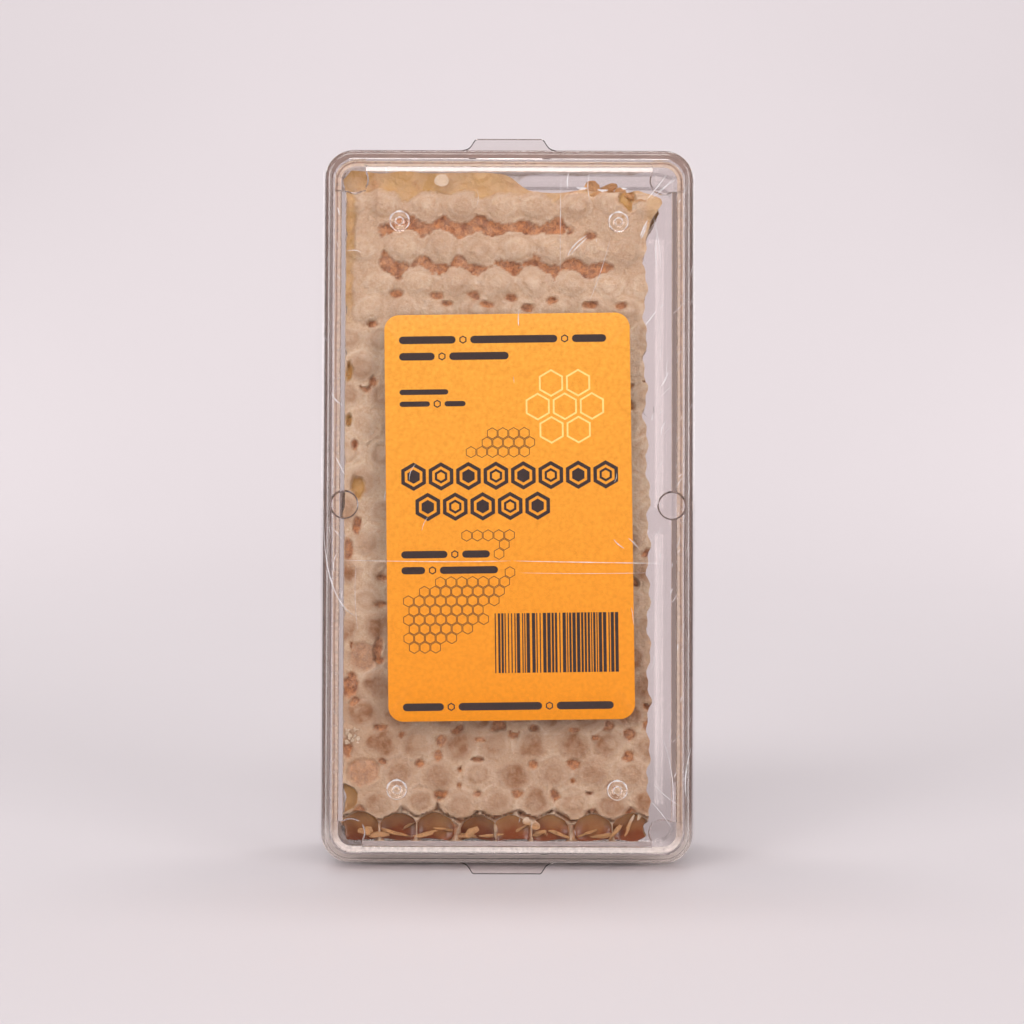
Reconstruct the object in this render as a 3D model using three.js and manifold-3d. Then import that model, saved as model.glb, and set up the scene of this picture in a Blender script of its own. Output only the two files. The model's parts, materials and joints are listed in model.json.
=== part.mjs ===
// A piece of cut comb honey in its clear two-part box, with a paper label and a clear film sleeve.
//
// The box stands on its short end. Inside the group "pack" X runs across the lid, Y runs from the
// lid's face (0) to the tray's back, and Z runs up from the lid's middle. The group is then leaned
// back until its lower tab and the tray's back edge both stand on Z = 0. All sizes are millimetres.

import * as THREE from 'three';
import { mergeVertices } from 'three/addons/utils/BufferGeometryUtils.js';
import Module from 'manifold-3d';

const LID = { width: 56, height: 108, plate: 1.2, depth: 9, wall: 1.2, corner: 4.4, round: 0.9 };
const RIB = { inset: 2.6, width: 0.7, height: 1.5 };
const PAD = { radius: 2.2, height: 1.5, cornerInset: 4.45, sideInset: 3.15, sides: 20 };
const PIP = { radius: 1.5, height: 0.45, x: 16.6, z: 43, sides: 14 };
const TAB = { tip: 10.2, base: 12.2, foot: 14, reach: 1.65, thickness: 1.2, front: 1 };
const TRAY = {
  width: 53.3, height: 105.3, front: 3, back: 32, wall: 1.1, floor: 1.2, corner: 3.2, draft: 0.2, round: 0.8,
};
const LABEL = {
  width: 37.2, height: 61.5, thickness: 0.15, gap: 0.1, corner: 2.3, x: 0.2, z: -1.8, turn: 0.9,
};
const FILM = { thickness: 0.15, front: 0.6, gap: 0.25, halfHeight: 51, corner: 1.6, cornerSteps: 5 };
const SEAT_FLAT = 0.06;
const CORNER_STEPS = 6;

// The comb: its box, the hexagonal cells and the wax cappings that close them.
const COMB = { left: -24.9, right: 21.4, bottom: -50.95, top: 50.5, front: 3.2, back: 30.3, midrib: 16.8 };
// The comb has sunk under its own weight, so its cells are less tall than regular hexagons.
const CELL = { pitch: 5.77, squash: 0.885, wall: 0.55, slope: 9, openDepth: 8 };
const CELL_RADIUS = CELL.pitch / Math.sqrt(3);
const ROW_STEP = 1.5 * CELL_RADIUS * CELL.squash;
// The middles of the cells at the back lie behind the corners of the cells in front.
const BACK_SHIFT = CELL_RADIUS * CELL.squash;
const FIRST_ROW = { x: 1.18, z: -49.6 };
const TOP_ROW = 21;
// How far the three top rows have slipped along Z, which opens the bare seams between them.
const ROW_SLIP = new Map([[TOP_ROW - 2, -0.5], [TOP_ROW - 1, 0.4], [TOP_ROW, 2.7], [TOP_ROW + 1, 3.2]]);
// How far behind the highest cappings each part of the relief lies, and how thick the wax roof over a
// cell cut open from the side is.
const CAP = { ring: 0.1, edge: 0.6, corner: 0.85, seam: 2.3, pit: 1.5, spread: 0.3 };
const ROOF = { plain: 1.8, seam: 2.9 };
// A cell is opened by the knife when its middle is nearer than this to a side of the comb.
const OPENED = { side: 1.8, bottom: 2.4, top: 1.6 };
const HALF_ROW = 5;
const PITTED = { topRows: 0.6, others: 0.14 };
// The top edge steps down here, and a torn flap of wax leans out of the right-hand side.
const TOP_STEP = { x: -1.5, run: 5, drop: 2.3 };
const FLAP = { z: 45.2, halfHeight: 2.6, reach: 1.9 };
const OUTLINE_STEP = 2.1;
const MARGIN = 5;

const wasm = await Module();
wasm.setup();

function solid(geometry) {
  const bare = geometry.clone();
  bare.deleteAttribute('normal');
  bare.deleteAttribute('uv');
  const merged = mergeVertices(bare, 1e-4);
  const mesh = new wasm.Mesh({
    numProp: 3,
    vertProperties: new Float32Array(merged.attributes.position.array),
    triVerts: new Uint32Array(merged.index.array),
  });
  return new wasm.Manifold(mesh);
}

function geometryOf(body) {
  const mesh = body.getMesh();
  const geometry = new THREE.BufferGeometry();
  geometry.setAttribute('position', new THREE.BufferAttribute(mesh.vertProperties, 3));
  geometry.setIndex(new THREE.BufferAttribute(mesh.triVerts, 1));
  geometry.computeVertexNormals();
  return geometry;
}

// A repeatable number from 0 to 1 for a whole number.
function chance(number) {
  const wave = Math.sin(number * 12.9898) * 43758.5453;
  return wave - Math.floor(wave);
}

// --- the box ---------------------------------------------------------------------------------

// The points of a rectangle with round corners in the XZ plane.
function roundedLoop(halfWidth, halfHeight, radius) {
  const points = [];
  for (let corner = 0; corner < 4; corner += 1) {
    const signX = corner === 0 || corner === 3 ? 1 : -1;
    const signZ = corner < 2 ? 1 : -1;
    for (let step = 0; step <= CORNER_STEPS; step += 1) {
      const angle = (corner + step / CORNER_STEPS) * Math.PI / 2;
      const x = signX * (halfWidth - radius) + radius * Math.cos(angle);
      points.push([x, signZ * (halfHeight - radius) + radius * Math.sin(angle)]);
    }
  }
  return points;
}

// A closed shell: one rounded loop for each { inset, y } of the wall's section, joined in order, with
// a flat face closing the first loop and the last.
function shellOfLoops(width, height, corner, section) {
  const positions = [];
  const triangles = [];
  const loops = section.map(({ inset, y }) => {
    const radius = Math.max(corner - inset, 0.5);
    const start = positions.length / 3;
    for (const [x, z] of roundedLoop(width / 2 - inset, height / 2 - inset, radius)) positions.push(x, y, z);
    return start;
  });
  const count = (positions.length / 3) / loops.length;
  for (let ring = 0; ring + 1 < loops.length; ring += 1) {
    for (let side = 0; side < count; side += 1) {
      const next = (side + 1) % count;
      const [a, b] = [loops[ring] + side, loops[ring] + next];
      const [c, d] = [loops[ring + 1] + side, loops[ring + 1] + next];
      triangles.push(a, c, b, b, c, d);
    }
  }
  const last = loops[loops.length - 1];
  for (let side = 1; side + 1 < count; side += 1) {
    triangles.push(loops[0], loops[0] + side, loops[0] + side + 1);
    triangles.push(last, last + side + 1, last + side);
  }
  const geometry = new THREE.BufferGeometry();
  geometry.setAttribute('position', new THREE.Float32BufferAttribute(positions, 3));
  geometry.setIndex(triangles);
  return geometry;
}

// The section's points round a quarter circle, from the face of the box to its side.
function quarterRound(radius, faceY, towards, steps = 4) {
  const points = [];
  for (let step = 0; step <= steps; step += 1) {
    const angle = (step / steps) * Math.PI / 2;
    points.push({
      inset: radius * (1 - Math.sin(angle)),
      y: faceY + towards * radius * (1 - Math.cos(angle)),
    });
  }
  return points;
}

function lidShell() {
  const under = LID.plate;
  const section = [
    ...quarterRound(LID.round, 0, 1),
    { inset: 0, y: LID.depth },
    { inset: LID.wall, y: LID.depth },
    { inset: LID.wall, y: under },
    { inset: RIB.inset, y: under },
    { inset: RIB.inset, y: under + RIB.height },
    { inset: RIB.inset + RIB.width, y: under + RIB.height },
    { inset: RIB.inset + RIB.width, y: under },
  ];
  return solid(shellOfLoops(LID.width, LID.height, LID.corner, section));
}

// A round pad on the plate's inner face, which the tray's edge stops against.
function pad(x, z) {
  const length = PAD.height + LID.plate / 2;
  const cylinder = new THREE.CylinderGeometry(PAD.radius, PAD.radius, length, PAD.sides);
  return solid(cylinder.translate(x, LID.plate / 2 + length / 2, z));
}

function padPlaces() {
  const x = LID.width / 2 - PAD.cornerInset;
  const z = LID.height / 2 - PAD.cornerInset;
  const sideX = LID.width / 2 - PAD.sideInset;
  return [[x, z], [-x, z], [x, -z], [-x, -z], [sideX, 0], [-sideX, 0]];
}

// A low round-topped pip on the plate's outer face, on which stacked boxes rest.
function pip(x, z) {
  const profile = [new THREE.Vector2(0, -LID.plate / 2), new THREE.Vector2(PIP.radius, -LID.plate / 2)];
  for (let step = 0; step <= 3; step += 1) {
    const angle = (step / 4) * Math.PI / 2;
    profile.push(new THREE.Vector2(PIP.radius * Math.cos(angle), PIP.height * Math.sin(angle)));
  }
  profile.push(new THREE.Vector2(0, PIP.height));
  const lathe = new THREE.LatheGeometry(profile, PIP.sides);
  return solid(lathe.rotateX(Math.PI).translate(x, 0, z));
}

// The lug in the middle of a short end: a flat tongue with sloped sides and hollow shoulders.
function tab(sign) {
  const edge = LID.height / 2;
  const outline = new THREE.Shape();
  outline.moveTo(-TAB.foot / 2, edge - LID.wall / 2);
  outline.lineTo(TAB.foot / 2, edge - LID.wall / 2);
  outline.lineTo(TAB.foot / 2, edge);
  outline.quadraticCurveTo(TAB.base / 2, edge, (TAB.base + TAB.tip) / 4, edge + TAB.reach / 2);
  outline.lineTo(TAB.tip / 2, edge + TAB.reach);
  outline.lineTo(-TAB.tip / 2, edge + TAB.reach);
  outline.lineTo(-(TAB.base + TAB.tip) / 4, edge + TAB.reach / 2);
  outline.quadraticCurveTo(-TAB.base / 2, edge, -TAB.foot / 2, edge);
  const plate = new THREE.ExtrudeGeometry(outline, {
    depth: TAB.thickness, bevelEnabled: false, curveSegments: 3,
  });
  plate.rotateX(Math.PI / 2).translate(0, TAB.front + TAB.thickness, 0);
  if (sign < 0) plate.rotateY(Math.PI);
  return solid(plate);
}

function buildLid() {
  let lid = lidShell();
  for (const [x, z] of padPlaces()) lid = lid.add(pad(x, z));
  for (const x of [-PIP.x, PIP.x]) {
    for (const z of [-PIP.z, PIP.z]) lid = lid.add(pip(x, z));
  }
  return lid.add(tab(1)).add(tab(-1));
}

function buildTray() {
  const inner = TRAY.back - TRAY.floor;
  const section = [
    ...quarterRound(TRAY.round, TRAY.back, -1).map(({ inset, y }) => ({ inset: inset + TRAY.draft, y })),
    { inset: 0, y: TRAY.front },
    { inset: TRAY.wall, y: TRAY.front },
    { inset: TRAY.wall + TRAY.draft, y: inner - TRAY.round / 2 },
    { inset: TRAY.wall + TRAY.draft + TRAY.round / 2, y: inner },
  ];
  const shell = shellOfLoops(TRAY.width, TRAY.height, TRAY.corner, section);
  return solid(flipped(shell));
}

// The same surface with every triangle turned over.
function flipped(geometry) {
  const index = geometry.index.array;
  for (let corner = 0; corner < index.length; corner += 3) {
    [index[corner], index[corner + 1]] = [index[corner + 1], index[corner]];
  }
  return geometry;
}

// --- label and film --------------------------------------------------------------------------

function roundedShape(halfWidth, halfHeight, radius) {
  const shape = new THREE.Shape();
  const points = roundedLoop(halfWidth, halfHeight, radius);
  shape.setFromPoints(points.map(([x, z]) => new THREE.Vector2(x, z)));
  return shape;
}

function buildLabel() {
  const shape = roundedShape(LABEL.width / 2, LABEL.height / 2, LABEL.corner);
  const sheet = new THREE.ExtrudeGeometry(shape, { depth: LABEL.thickness, bevelEnabled: false });
  sheet.rotateZ(THREE.MathUtils.degToRad(LABEL.turn)).rotateX(Math.PI / 2);
  return sheet.translate(LABEL.x, -LABEL.gap, LABEL.z);
}

// The film's path round the box, seen along Z: round the lid's front, past the end of its skirt and
// in to the tray's back corners. "out" is how far it is pushed outwards.
function filmPath(out) {
  const side = LID.width / 2 + FILM.gap + out;
  const backSide = TRAY.width / 2 - TRAY.draft + FILM.gap + out;
  const front = -FILM.front - out;
  const back = TRAY.back + FILM.gap + out;
  const corners = [
    [side, front], [side, LID.depth + FILM.gap], [backSide, back],
    [-backSide, back], [-side, LID.depth + FILM.gap], [-side, front],
  ];
  return corners.flatMap((corner, index) => {
    const before = corners[(index + 5) % 6];
    const after = corners[(index + 1) % 6];
    return roundCorner(before, corner, after, FILM.corner + out);
  });
}

// Points on the curve that replaces a sharp corner, from the side before it to the side after.
function roundCorner(before, corner, after, radius) {
  const start = new THREE.Vector2(...before).sub(new THREE.Vector2(...corner)).setLength(radius);
  const end = new THREE.Vector2(...after).sub(new THREE.Vector2(...corner)).setLength(radius);
  const middle = new THREE.Vector2(...corner);
  const curve = new THREE.QuadraticBezierCurve(start.add(middle), middle, end.add(middle));
  return curve.getPoints(FILM.cornerSteps);
}

function buildFilm() {
  const shape = new THREE.Shape(filmPath(FILM.thickness));
  shape.holes.push(new THREE.Path(filmPath(0)));
  const sleeve = new THREE.ExtrudeGeometry(shape, { depth: 2 * FILM.halfHeight, bevelEnabled: false });
  return sleeve.translate(0, 0, -FILM.halfHeight);
}

// --- the comb --------------------------------------------------------------------------------

function rowZ(row) {
  return FIRST_ROW.z + row * ROW_STEP;
}

function cellX(row, place) {
  return FIRST_ROW.x + (place + (row % 2 ? 0.5 : 0)) * CELL.pitch;
}

// Moves a point of the even lattice to where its row has slipped.
function slipped(z) {
  const place = (z - FIRST_ROW.z) / ROW_STEP;
  const low = Math.floor(place);
  const slipLow = ROW_SLIP.get(low) ?? 0;
  const slipHigh = ROW_SLIP.get(low + 1) ?? 0;
  return z + slipLow + (slipHigh - slipLow) * (place - low);
}

// The cells nearest to a point of the even lattice: one inside a cell, two on a wall, three at a
// corner where walls meet.
function nearestCells(x, z) {
  const found = [];
  const middleRow = Math.round((z - FIRST_ROW.z) / ROW_STEP);
  for (let row = middleRow - 1; row <= middleRow + 1; row += 1) {
    const middle = Math.round((x - cellX(row, 0)) / CELL.pitch);
    for (let place = middle - 1; place <= middle + 1; place += 1) {
      const rise = (z - rowZ(row)) / CELL.squash;
      found.push({ row, place, distance: Math.hypot(x - cellX(row, place), rise) });
    }
  }
  const least = Math.min(...found.map((cell) => cell.distance));
  return found.filter((cell) => cell.distance < least + 0.01);
}

// Whether the walls between these cells form one of the two bare seams under the top rows.
function onSeam(cells) {
  const rows = cells.map((cell) => cell.row);
  const spans = (low) => rows.includes(low) && rows.includes(low + 1);
  return spans(TOP_ROW - 1) || spans(TOP_ROW - 2);
}

// How far behind the cappings' highest level the surface lies at a point of the lattice.
function capDepth(x, z, seams) {
  const cells = nearestCells(x, z);
  const [first] = cells;
  const spread = CAP.spread * chance(first.row * 31 + first.place * 7);
  if (cells.length === 1) return (first.distance > 0.1 ? CAP.ring : 0) + spread;
  if (seams && onSeam(cells)) return CAP.seam;
  if (cells.length === 2) return CAP.edge;
  if (!seams) return CAP.corner;
  const odds = first.row >= TOP_ROW - 4 ? PITTED.topRows : PITTED.others;
  const pitted = chance(first.row * 17 + first.place * 5 + Math.round(x)) < odds;
  return pitted ? CAP.pit : CAP.corner;
}

// Half of the comb: a relief of cappings over the cells' lattice, and a flat face at the midrib.
// "fineness" is how many lattice steps there are from a cell's middle to its corner, and "towards" is
// the way the relief faces along Y.
function halfComb(fineness, towards, faceY, flatY, shiftZ, seams) {
  const stepX = CELL.pitch / (2 * fineness);
  const stepZ = CELL_RADIUS * CELL.squash / fineness;
  const columns = Math.ceil((COMB.right - COMB.left + 2.4 * MARGIN) / stepX);
  const rows = Math.ceil((COMB.top - COMB.bottom + 2.4 * MARGIN) / stepZ);
  const firstColumn = Math.floor((COMB.left - MARGIN - FIRST_ROW.x) / stepX);
  const firstRow = Math.floor((COMB.bottom - MARGIN - FIRST_ROW.z) / stepZ);
  const positions = [];
  for (const relief of [true, false]) {
    for (let column = 0; column <= columns; column += 1) {
      for (let row = 0; row <= rows; row += 1) {
        const n = firstColumn + column;
        const x = FIRST_ROW.x + n * stepX;
        const z = FIRST_ROW.z + (firstRow + row + (n % 2 ? 0.5 : 0)) * stepZ;
        const y = relief ? faceY - towards * capDepth(x, z, seams) : flatY;
        positions.push(x, y, slipped(z) + shiftZ);
      }
    }
  }
  const geometry = new THREE.BufferGeometry();
  geometry.setAttribute('position', new THREE.Float32BufferAttribute(positions, 3));
  geometry.setIndex(latticeTriangles(columns, rows, firstColumn));
  return solid(towards < 0 ? geometry : flipped(geometry));
}

// The triangles of two facing lattices and of the band that joins their borders.
function latticeTriangles(columns, rows, firstColumn) {
  const triangles = [];
  const under = (columns + 1) * (rows + 1);
  const at = (column, row) => column * (rows + 1) + row;
  const both = (a, b, c) => triangles.push(a, b, c, under + a, under + c, under + b);
  for (let column = 0; column < columns; column += 1) {
    const raised = (firstColumn + column) % 2 !== 0;
    for (let row = 0; row < rows; row += 1) {
      const [a, b] = [at(column, row), at(column + 1, row)];
      const [c, d] = [at(column, row + 1), at(column + 1, row + 1)];
      if (raised) {
        both(a, b, d);
        both(a, d, c);
      } else {
        both(a, b, c);
        both(b, d, c);
      }
    }
  }
  for (const [a, b] of borderEdges(columns, rows, at)) {
    triangles.push(b, a, under + a, b, under + a, under + b);
  }
  return triangles;
}

function borderEdges(columns, rows, at) {
  const edges = [];
  for (let column = 0; column < columns; column += 1) {
    edges.push([at(column, 0), at(column + 1, 0)]);
    edges.push([at(column + 1, rows), at(column, rows)]);
  }
  for (let row = 0; row < rows; row += 1) {
    edges.push([at(columns, row), at(columns, row + 1)]);
    edges.push([at(0, row + 1), at(0, row)]);
  }
  return edges;
}

// Where the knife left the comb's four sides.
const leftEdge = (z) => COMB.left + 0.3 + 0.2 * Math.sin(1.1 * z + 0.5) + 0.1 * Math.sin(2.7 * z + 2);
const bottomEdge = (x) => COMB.bottom + 0.15 + 0.15 * Math.sin(0.9 * x);

function rightEdge(z) {
  const wave = 0.3 * Math.sin(0.8 * z) + 0.2 * Math.sin(2.1 * z + 1);
  const flap = Math.max(0, 1 - ((z - FLAP.z) / FLAP.halfHeight) ** 2);
  return COMB.right + wave + FLAP.reach * Math.sqrt(flap);
}

function topEdge(x) {
  const fall = THREE.MathUtils.smoothstep(x, TOP_STEP.x, TOP_STEP.x + TOP_STEP.run);
  return COMB.top - 0.4 + 0.3 * Math.sin(0.7 * x) - TOP_STEP.drop * fall;
}

function combOutline() {
  const corner = 1;
  const points = [];
  const along = (from, to, pointAt) => {
    const count = Math.round(Math.abs(to - from) / OUTLINE_STEP);
    for (let step = 0; step < count; step += 1) {
      points.push(new THREE.Vector2(...pointAt(from + (to - from) * step / count)));
    }
  };
  along(COMB.left + corner, COMB.right - corner, (x) => [x, bottomEdge(x)]);
  along(COMB.bottom + corner, COMB.top - TOP_STEP.drop - corner, (z) => [rightEdge(z), z]);
  along(COMB.right - corner, COMB.left + corner, (x) => [x, topEdge(x)]);
  along(COMB.top - corner, COMB.bottom + corner, (z) => [leftEdge(z), z]);
  return new THREE.Shape(points);
}

// A six-sided cell from one depth to another, its mouth higher than its foot, as bees build it.
function cellPrism(x, z, mouthY, footY) {
  const radius = (CELL.pitch - CELL.wall) / Math.sqrt(3);
  const length = Math.abs(footY - mouthY);
  const prism = new THREE.CylinderGeometry(radius, radius, length, 6);
  const slope = THREE.MathUtils.degToRad(CELL.slope);
  prism.scale(1, 1, CELL.squash).rotateX(mouthY < footY ? -slope : slope);
  return solid(prism.translate(x, (mouthY + footY) / 2, z));
}

// The cells whose middle lies close to one of the comb's cut sides, as { row, x, z }.
function cutCells(shiftZ) {
  const cells = [];
  for (let row = -1; row <= TOP_ROW + 1; row += 1) {
    const z = slipped(rowZ(row)) + shiftZ;
    for (let place = -HALF_ROW; place <= HALF_ROW; place += 1) {
      const x = cellX(row, place);
      const nearSide = Math.min(Math.abs(x - COMB.left), Math.abs(x - COMB.right)) < OPENED.side;
      const nearEnd = z < COMB.bottom + OPENED.bottom || z > topEdge(x) - OPENED.top;
      const inside = x > COMB.left - OPENED.side && x < COMB.right + OPENED.side;
      if (inside && (nearSide || nearEnd)) cells.push({ row, x, z });
    }
  }
  return cells;
}

// On the front the lowest row, the topmost and the left-hand column are open, and the other cut cells
// are open to their side only, under their capping.
function openFrontCell({ row, x, z }) {
  const open = row <= 0 || row > TOP_ROW || x < COMB.left + OPENED.side;
  if (open) return cellPrism(x, z, COMB.front - 1, COMB.front + CELL.openDepth);
  const roof = row >= TOP_ROW - 2 ? ROOF.seam : ROOF.plain;
  return cellPrism(x, z, COMB.front + roof, COMB.midrib - 1);
}

function openBackCell({ x, z }) {
  return cellPrism(x, z, COMB.back - ROOF.plain, COMB.midrib + 1);
}

function buildComb() {
  const outline = new THREE.ExtrudeGeometry(combOutline(), {
    depth: COMB.back - COMB.front + 2, bevelEnabled: false,
  });
  outline.rotateX(Math.PI / 2).translate(0, COMB.back + 1, 0);
  const frontHalf = halfComb(2, -1, COMB.front, COMB.midrib + 0.2, 0, true);
  const backHalf = halfComb(1, 1, COMB.back, COMB.midrib - 0.2, BACK_SHIFT, false);
  let comb = frontHalf.add(backHalf).intersect(solid(outline));
  for (const cell of cutCells(0)) comb = comb.subtract(openFrontCell(cell));
  for (const cell of cutCells(BACK_SHIFT)) comb = comb.subtract(openBackCell(cell));
  return largestBody(comb);
}

// What is left when the loose scraps of wall between cut cells have dropped out.
function largestBody(body) {
  const bodies = body.decompose();
  return bodies.reduce((largest, other) => (other.volume() > largest.volume() ? other : largest));
}

// --- the whole pack --------------------------------------------------------------------------

// The lean at which the lower tab's rear edge and the tray's rounded back edge are level.
function leanAngle() {
  const run = TRAY.back - TRAY.round - (TAB.front + TAB.thickness);
  const rise = LID.height / 2 + TAB.reach - (TRAY.height / 2 - TRAY.draft - TRAY.round);
  return Math.atan2(rise, run) - Math.asin(TRAY.round / Math.hypot(run, rise));
}

const LEAN = leanAngle();
const TAB_BACK = TAB.front + TAB.thickness;
const FLOOR = -TAB_BACK * Math.sin(LEAN) - (LID.height / 2 + TAB.reach) * Math.cos(LEAN) + SEAT_FLAT;

// Takes off what lies under the floor, which leaves a narrow flat to stand on.
function standing(body) {
  const depth = 10;
  const ground = new THREE.BoxGeometry(200, 200, depth);
  ground.translate(0, 0, FLOOR - depth / 2).rotateX(LEAN);
  return body.subtract(solid(ground));
}

const clearPlastic = new THREE.MeshStandardMaterial({
  color: 0xe3e8ea, roughness: 0.08, metalness: 0, transparent: true, opacity: 0.35,
});
const clearFilm = new THREE.MeshStandardMaterial({
  color: 0xf2f4f5, roughness: 0.15, metalness: 0, transparent: true, opacity: 0.2,
});
const wax = new THREE.MeshStandardMaterial({ color: 0xc9a27a, roughness: 0.6, metalness: 0 });
const orangePaper = new THREE.MeshStandardMaterial({ color: 0xf6a32b, roughness: 0.5, metalness: 0 });

function named(name, geometry, material) {
  const mesh = new THREE.Mesh(geometry, material);
  mesh.name = name;
  return mesh;
}

const pack = new THREE.Group();
pack.add(named('lid', geometryOf(standing(buildLid())), clearPlastic));
pack.add(named('tray', geometryOf(standing(buildTray())), clearPlastic));
pack.add(named('comb', geometryOf(buildComb()), wax));
pack.add(named('label', buildLabel(), orangePaper));
pack.add(named('film', buildFilm(), clearFilm));
pack.rotation.x = -LEAN;
pack.position.z = -FLOOR;

// The origin is under the middle of the whole pack's box.
const reach = new THREE.Box3().setFromObject(pack, true);
pack.position.y = -(reach.min.y + reach.max.y) / 2;

const object = new THREE.Group();
object.add(pack);

export default object;
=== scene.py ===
"""Cut comb honey in a clear two-part box, under a paper label and a clear film sleeve.

Every piece is worked out in the pack's own frame, in metres: X runs across the lid, Y from the lid's
face (0) to the tray's back, and Z up from the lid's middle. pack_to_frame() leans it back onto the
floor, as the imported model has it. Seen from the front, +X is the right-hand side.
"""

import json
import math
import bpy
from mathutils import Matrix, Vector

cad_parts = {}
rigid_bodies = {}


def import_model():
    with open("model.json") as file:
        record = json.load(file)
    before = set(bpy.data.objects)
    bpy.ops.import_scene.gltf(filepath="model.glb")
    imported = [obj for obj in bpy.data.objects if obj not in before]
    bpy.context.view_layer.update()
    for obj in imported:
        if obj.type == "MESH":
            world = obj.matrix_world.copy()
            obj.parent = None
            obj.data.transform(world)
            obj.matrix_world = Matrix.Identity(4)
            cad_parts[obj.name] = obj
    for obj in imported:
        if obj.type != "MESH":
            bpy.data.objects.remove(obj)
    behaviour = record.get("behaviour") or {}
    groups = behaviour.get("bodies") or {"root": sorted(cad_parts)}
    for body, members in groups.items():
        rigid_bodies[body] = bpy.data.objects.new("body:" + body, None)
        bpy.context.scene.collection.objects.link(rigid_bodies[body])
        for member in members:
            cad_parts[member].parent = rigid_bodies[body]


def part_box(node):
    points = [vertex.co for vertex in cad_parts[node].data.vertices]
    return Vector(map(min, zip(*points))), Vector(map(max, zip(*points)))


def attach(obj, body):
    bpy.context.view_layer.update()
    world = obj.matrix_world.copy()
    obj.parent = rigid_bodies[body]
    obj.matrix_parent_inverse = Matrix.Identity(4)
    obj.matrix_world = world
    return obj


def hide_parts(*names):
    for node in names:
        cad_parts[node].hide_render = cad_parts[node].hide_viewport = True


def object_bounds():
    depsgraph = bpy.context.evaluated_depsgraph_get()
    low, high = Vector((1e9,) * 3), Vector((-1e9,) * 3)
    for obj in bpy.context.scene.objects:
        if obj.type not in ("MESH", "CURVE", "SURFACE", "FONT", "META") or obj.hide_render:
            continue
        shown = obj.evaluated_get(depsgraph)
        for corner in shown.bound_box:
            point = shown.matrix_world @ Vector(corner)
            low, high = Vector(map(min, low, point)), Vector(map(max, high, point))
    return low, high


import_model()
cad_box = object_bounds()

from types import SimpleNamespace

import bpy
import numpy as np
from bpy.props import FloatProperty, FloatVectorProperty, IntProperty, PointerProperty
from bpy.types import Operator, Panel, PropertyGroup
from mathutils import Quaternion, Vector

bl_info = {
    "name": "Comb Honey Pack",
    "version": (1, 0, 0),
    "blender": (4, 5, 0),
    "location": "View3D > Sidebar > Comb Honey",
    "description": "Builds a boxed piece of cut comb honey and a small studio around it",
    "category": "Add Mesh",
}

MM = 0.001


# --- settings ---


def length(name, millimetres, description):
    """A length in metres, given in millimetres."""
    return FloatProperty(
        name=name, description=description, default=millimetres * MM, unit="LENGTH", precision=5)


def slant(name, degrees, description):
    """An angle in radians, given in degrees."""
    return FloatProperty(name=name, description=description, default=math.radians(degrees), subtype="ANGLE")


def power(name, watts, description):
    """A light's power in watts."""
    return FloatProperty(name=name, description=description, default=watts, unit="POWER")


def colour(name, red, green, blue, description):
    """A colour given as it looks on a screen, from 0 to 255, and kept as linear light."""
    screen = np.array([red, green, blue]) / 255
    linear = np.where(screen <= 0.04045, screen / 12.92, ((screen + 0.055) / 1.055) ** 2.4)
    return FloatVectorProperty(name=name, description=description, subtype="COLOR", size=4, min=0, max=1,
                               default=(*linear.tolist(), 1))


class BoxSizes(PropertyGroup):
    """Sizes of the clear lid and the tray"""
    lid_width: length("Lid width", 56, "Across the lid, outside")
    lid_height: length("Lid height", 108, "Along the lid, outside and without its tabs")
    lid_depth: length("Lid depth", 9, "From the lid's face to the end of its skirt")
    lid_wall: length("Lid wall", 1.2, "Thickness of the lid's face, skirt and tabs")
    lid_corner: length("Lid corner", 4.4, "Radius of the lid's corners")
    lid_round: length("Lid rounding", 0.9, "Radius between the lid's face and its skirt")
    rib_inset: length("Rib inset", 2.45, "From the lid's outside to the rib on its inner face")
    rib_width: length("Rib width", 0.7, "Thickness of the rib")
    rib_height: length("Rib height", 1.5, "How far the rib and the pads stand up from the lid's face")
    pad_radius: length("Pad radius", 2.2, "Radius of the six pads on the lid's inner face")
    pad_corner: length("Pad corner inset", 4.45, "From the lid's sides to the middle of a corner pad")
    pad_side: length("Pad side inset", 3.15, "From the lid's side to the middle of a side pad")
    pip_radius: length("Pip radius", 1.6, "Radius of the four pips on the lid's face")
    pip_height: length("Pip height", 0.52, "How far the pips stand out of the lid's face")
    pip_x: length("Pip place across", 16.6, "From the lid's middle to a pip, across")
    pip_z: length("Pip place along", 43, "From the lid's middle to a pip, along")
    tab_tip: length("Tab tip", 10.2, "Width of a tab at its tip")
    tab_base: length("Tab base", 12.2, "Width of a tab where its sides meet the shoulders")
    tab_foot: length("Tab foot", 14, "Width of a tab where it leaves the lid")
    tab_reach: length("Tab reach", 1.65, "How far a tab stands out")
    tab_front: length("Tab place", 1, "From the lid's face to the tab")
    tray_width: length("Tray width", 53.3, "Across the tray at its mouth, outside")
    tray_height: length("Tray height", 105.3, "Along the tray at its mouth, outside")
    tray_front: length("Tray mouth", 3, "From the lid's face to the tray's mouth")
    tray_back: length("Tray back", 32, "From the lid's face to the tray's back")
    tray_wall: length("Tray wall", 1.1, "Thickness of the tray's sides")
    tray_floor: length("Tray floor", 1.2, "Thickness of the tray's back")
    tray_corner: length("Tray corner", 3.2, "Radius of the tray's corners")
    tray_draft: length("Tray draft", 0.2, "How much the tray narrows towards its back, on each side")
    tray_round: length("Tray rounding", 0.8, "Radius between the tray's back and its sides")
    soft_edge: length("Soft edge", 0.12, "Radius of the small edges of the moulded plastic")
    seat_flat: length("Seat flat", 0.06, "How much of the lower tab is flattened where the box stands")


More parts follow.
